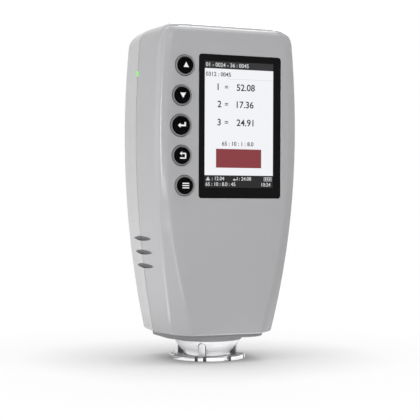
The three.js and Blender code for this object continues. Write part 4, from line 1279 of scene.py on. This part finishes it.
def locating_plate():
    edge = PLATE_EDGE
    thick = PLATE_THICKNESS
    profile = [(PLATE_BORE + edge, 0.0), (PLATE_RADIUS - edge, 0.0), (PLATE_RADIUS, edge),
               (PLATE_RADIUS, thick - edge), (PLATE_RADIUS - edge, thick), (PLATE_BORE + edge, thick),
               (PLATE_BORE, thick - edge), (PLATE_BORE, edge)]
    piece = two_tone(revolve("steel_plate", profile, "z", AXIS, segments=144), PLATE_STEEL, STEEL_PAINTED_SHADE)
    cuts = [plate_cut(CLIP_INNER - OVERRUN, CLIP_OUTER + CLIP_SEAT, CLIP_WIDTH + 2 * CLIP_SEAT, turn)
            for turn in CLIP_TURNS]
    width = (SLOT_OUTER - SLOT_INNER) / 2
    shift = (SLOT_INNER + width) / 2
    for turn in CLIP_TURNS:
        for side in (-1, 1):
            cuts.append(plate_cut(PLATE_RADIUS - SLOT_DEPTH, PLATE_RADIUS + NOTCH_OVERRUN, width, turn,
                                  side * shift))
    cuts += [plate_notch(turn + radians(NOTCH_ANGLE)) for turn in CLIP_TURNS[0::2]]
    boolean(piece, cuts)
    bevelled(piece, PLATE_SOFTNESS)
    piece.data.materials.append(PLATE_FACE)
    for face in piece.data.polygons:
        if face.normal.z > FACE_SHARE:
            face.material_index = 2
    finish(piece, PLATE_STEEL, "polished_steel", "locating_plate")


def plate_clips():
    """Four satin clips with rounded tops, with painted shade in a darker steel on the two flanks of each."""
    clips = []
    for turn in CLIP_TURNS:
        clip = spoke("clip", CLIP_INNER, CLIP_OUTER, CLIP_WIDTH, 0.0, CLIP_TOP, turn, crown=True)
        clips.append(bevelled(clip, CLIP_EDGE, segments=3))
    piece = two_tone(joined("plate_clips", clips), CLIP_STEEL, STEEL_PAINTED_SHADE)
    finish(piece, CLIP_STEEL, "aluminium")
    for face in piece.data.polygons:
        around = atan2(face.center.y - AXIS_Y * MM, face.center.x)
        flank = Vector((-sin(around), cos(around), 0.0))
        # Faces along a clip's flanks take the painted shade.
        if abs(face.normal.dot(flank)) > FLANK_SHARE:
            face.material_index = 1


# Stage

CAMERA_LENS = 102.86
CAMERA_SENSOR = 36.0
CAMERA_PLACE = (-271.4, -634.8, 89.5)
CAMERA_AZIMUTH = 23.2
CAMERA_PITCH = 0.38
CAMERA_ROLL = 0.2
CLIP_START = 10.0


def camera():
    data = bpy.data.cameras.new("camera")
    data.lens = CAMERA_LENS
    data.sensor_width = CAMERA_SENSOR
    data.clip_start = CLIP_START * MM
    holder = link("camera", data)
    turn = Matrix.Rotation(radians(-CAMERA_AZIMUTH), 4, "Z")
    tilt = Matrix.Rotation(radians(90 - CAMERA_PITCH), 4, "X")
    roll = Matrix.Rotation(radians(CAMERA_ROLL), 4, "Z")
    holder.matrix_world = Matrix.Translation(Vector(CAMERA_PLACE) * MM) @ turn @ tilt @ roll
    bpy.context.scene.camera = holder


# Softboxes: turn from the front, positive to the right, lift, size in millimetres and power in watts
LAMP_DISTANCE = 1100.0
LAMP_AIM = 100.0
LAMPS = [
    ("left_box", -80, 12, (200, 500), 0.4),
    ("left_front_box", -60, 4, (200, 400), 1.1),
    ("left_strip", -105, 12, (90, 600), 1.5),
    ("front_strip", -20, 12, (90, 600), 1.5),
    ("low_front_box", -23, 3, (300, 200), 1.2),
    ("front_spot", -2, 18, (80, 80), 0.3),
    ("right_front_box", 34, 45, (400, 400), 0.9),
    ("upper_spot", 19, 44, (110, 110), 0.7),
    ("top_left_box", -100, 70, (400, 400), 2.4),
    ("top_right_box", 57, 70, (450, 450), 5.0),
    ("corner_box", -68, 40, (250, 250), 1.1),
    ("rear_box", 150, 28, (400, 400), 3.2),
]

# Lamps that lie on the table and shine upwards: turn, distance from the axis, size and power
TABLE_LAMPS = [
    ("table_glow", 30, 16, (60, 56), 0.0085),
    ("table_left_strip", -88, 290, (40, 420), 0.2),
    ("table_front_strip", -28, 370, (40, 400), 0.28),
]
TABLE_LAMP_HEIGHT = 0.3


def lamp(name, size, power):
    """A rectangular lamp that the camera doesn't see."""
    data = bpy.data.lights.new(name, "AREA")
    data.shape = "RECTANGLE"
    data.size = size[0] * MM
    data.size_y = size[1] * MM
    data.energy = power
    holder = link(name, data)
    holder.visible_camera = False
    return holder


def lights():
    """Softboxes all round, a light under the nose and strips on the table."""
    for name, turn, lift, size, power in LAMPS:
        around = radians(turn)
        up = radians(lift)
        way = Vector((sin(around) * cos(up), -cos(around) * cos(up), sin(up)))
        holder = lamp(name, size, power)
        holder.location = (Vector((0.0, 0.0, LAMP_AIM)) + way * LAMP_DISTANCE) * MM
        holder.rotation_euler = way.to_track_quat("Z", "Y").to_euler()
    for name, turn, reach, size, power in TABLE_LAMPS:
        around = radians(turn)
        place_on_table = (reach * sin(around), -reach * cos(around), TABLE_LAMP_HEIGHT)
        holder = lamp(name, size, power)
        holder.location = Vector(place_on_table) * MM
        holder.rotation_euler = (pi, 0.0, around)


WHITE = (1, 1, 1, 1)
AMBIENT = 0.05


def seeing_rays(tree):
    """1 for rays from the camera, and for those that a gloss or a glass sends on."""
    path = add(tree, "LightPath", {})
    rays = path.outputs["Is Camera Ray"]
    for name in ("Is Glossy Ray", "Is Transmission Ray"):
        most = add(tree, "Math", {0: rays, 1: path.outputs[name]})
        most.operation = "MAXIMUM"
        rays = most.outputs[0]
    return rays


def world():
    """White to the eye and in reflections, and a plain ambient light for everything else."""
    backdrop = bpy.data.worlds.new("studio")
    bpy.context.scene.world = backdrop
    backdrop.use_nodes = True
    tree = backdrop.node_tree
    tree.nodes.clear()
    seen = add(tree, "Background", {"Color": WHITE, "Strength": 1.0})
    ambient = add(tree, "Background", {"Color": WHITE, "Strength": AMBIENT})
    mix = add(tree, "MixShader", {"Fac": seeing_rays(tree), 1: ambient.outputs[0], 2: seen.outputs[0]})
    add(tree, "OutputWorld", {"Surface": mix.outputs[0]})


FLOOR_RADIUS = 900.0
FLOOR_SIDES = 96
FLOOR_WHITE = (0.93, 0.93, 0.93, 1)
FADE_START = 70.0
FADE_END = 210.0
CONTACT_REACH = 75.0
CONTACT_SAMPLES = 16
PAINTED_SHADOW_SHARE = 0.8


def floor():
    """A white floor that fades out into the backdrop round the object, with a shadow painted in from ambient
    occlusion for the camera and reflections.
    """
    turns = [2 * pi * i / FLOOR_SIDES for i in range(FLOOR_SIDES)]
    ring = [(FLOOR_RADIUS * cos(turn), FLOOR_RADIUS * sin(turn), 0.0) for turn in turns]
    piece = make("floor", ring, [tuple(range(FLOOR_SIDES))])
    material, shader, where = node_material("floor_white")
    tree = material.node_tree
    wire(shader, {"Base Color": FLOOR_WHITE, "Roughness": 0.9, "Specular IOR Level": 0.1})
    distance = add(tree, "VectorMath", {0: where})
    distance.operation = "LENGTH"
    fade = add(tree, "MapRange", {
        "From Min": FADE_START * MM, "From Max": FADE_END * MM, "Value": distance.outputs["Value"],
    })
    fade.interpolation_type = "SMOOTHSTEP"
    # Painted shadow: the ambient occlusion round the object glows as the floor's colour for camera and
    # reflection rays.
    contact = add(tree, "AmbientOcclusion", {"Distance": CONTACT_REACH * MM})
    contact.samples = CONTACT_SAMPLES
    painted_contact_shadow = add(tree, "Emission", {"Color": contact.outputs["Color"]})
    share = spread(fade.outputs["Result"], PAINTED_SHADOW_SHARE, 1.0)
    seen = add(tree, "Math", {0: share, 1: seeing_rays(tree)})
    seen.operation = "MULTIPLY"
    mix = add(tree, "MixShader", {"Fac": seen.outputs[0], 1: shader.outputs[0], 2: painted_contact_shadow.outputs[0]})
    wire(tree.nodes["Material Output"], {"Surface": mix.outputs[0]})
    piece.data.materials.append(material)


camera()
world()
lights()
floor()
dress_frame()
front_shell()
rear_shell()
seam_dark_strip()
battery_cover()
key_collars()
glass()
screen_content()
for key_name in KEY_NAMES:
    key(key_name)
test_button()
power_knob()
usb_port()
status_light()
screws()
base_plate()
nose_collar()
nose_cone()
locating_plate()
plate_clips()

bpy.context.scene.view_settings.view_transform = "Standard"
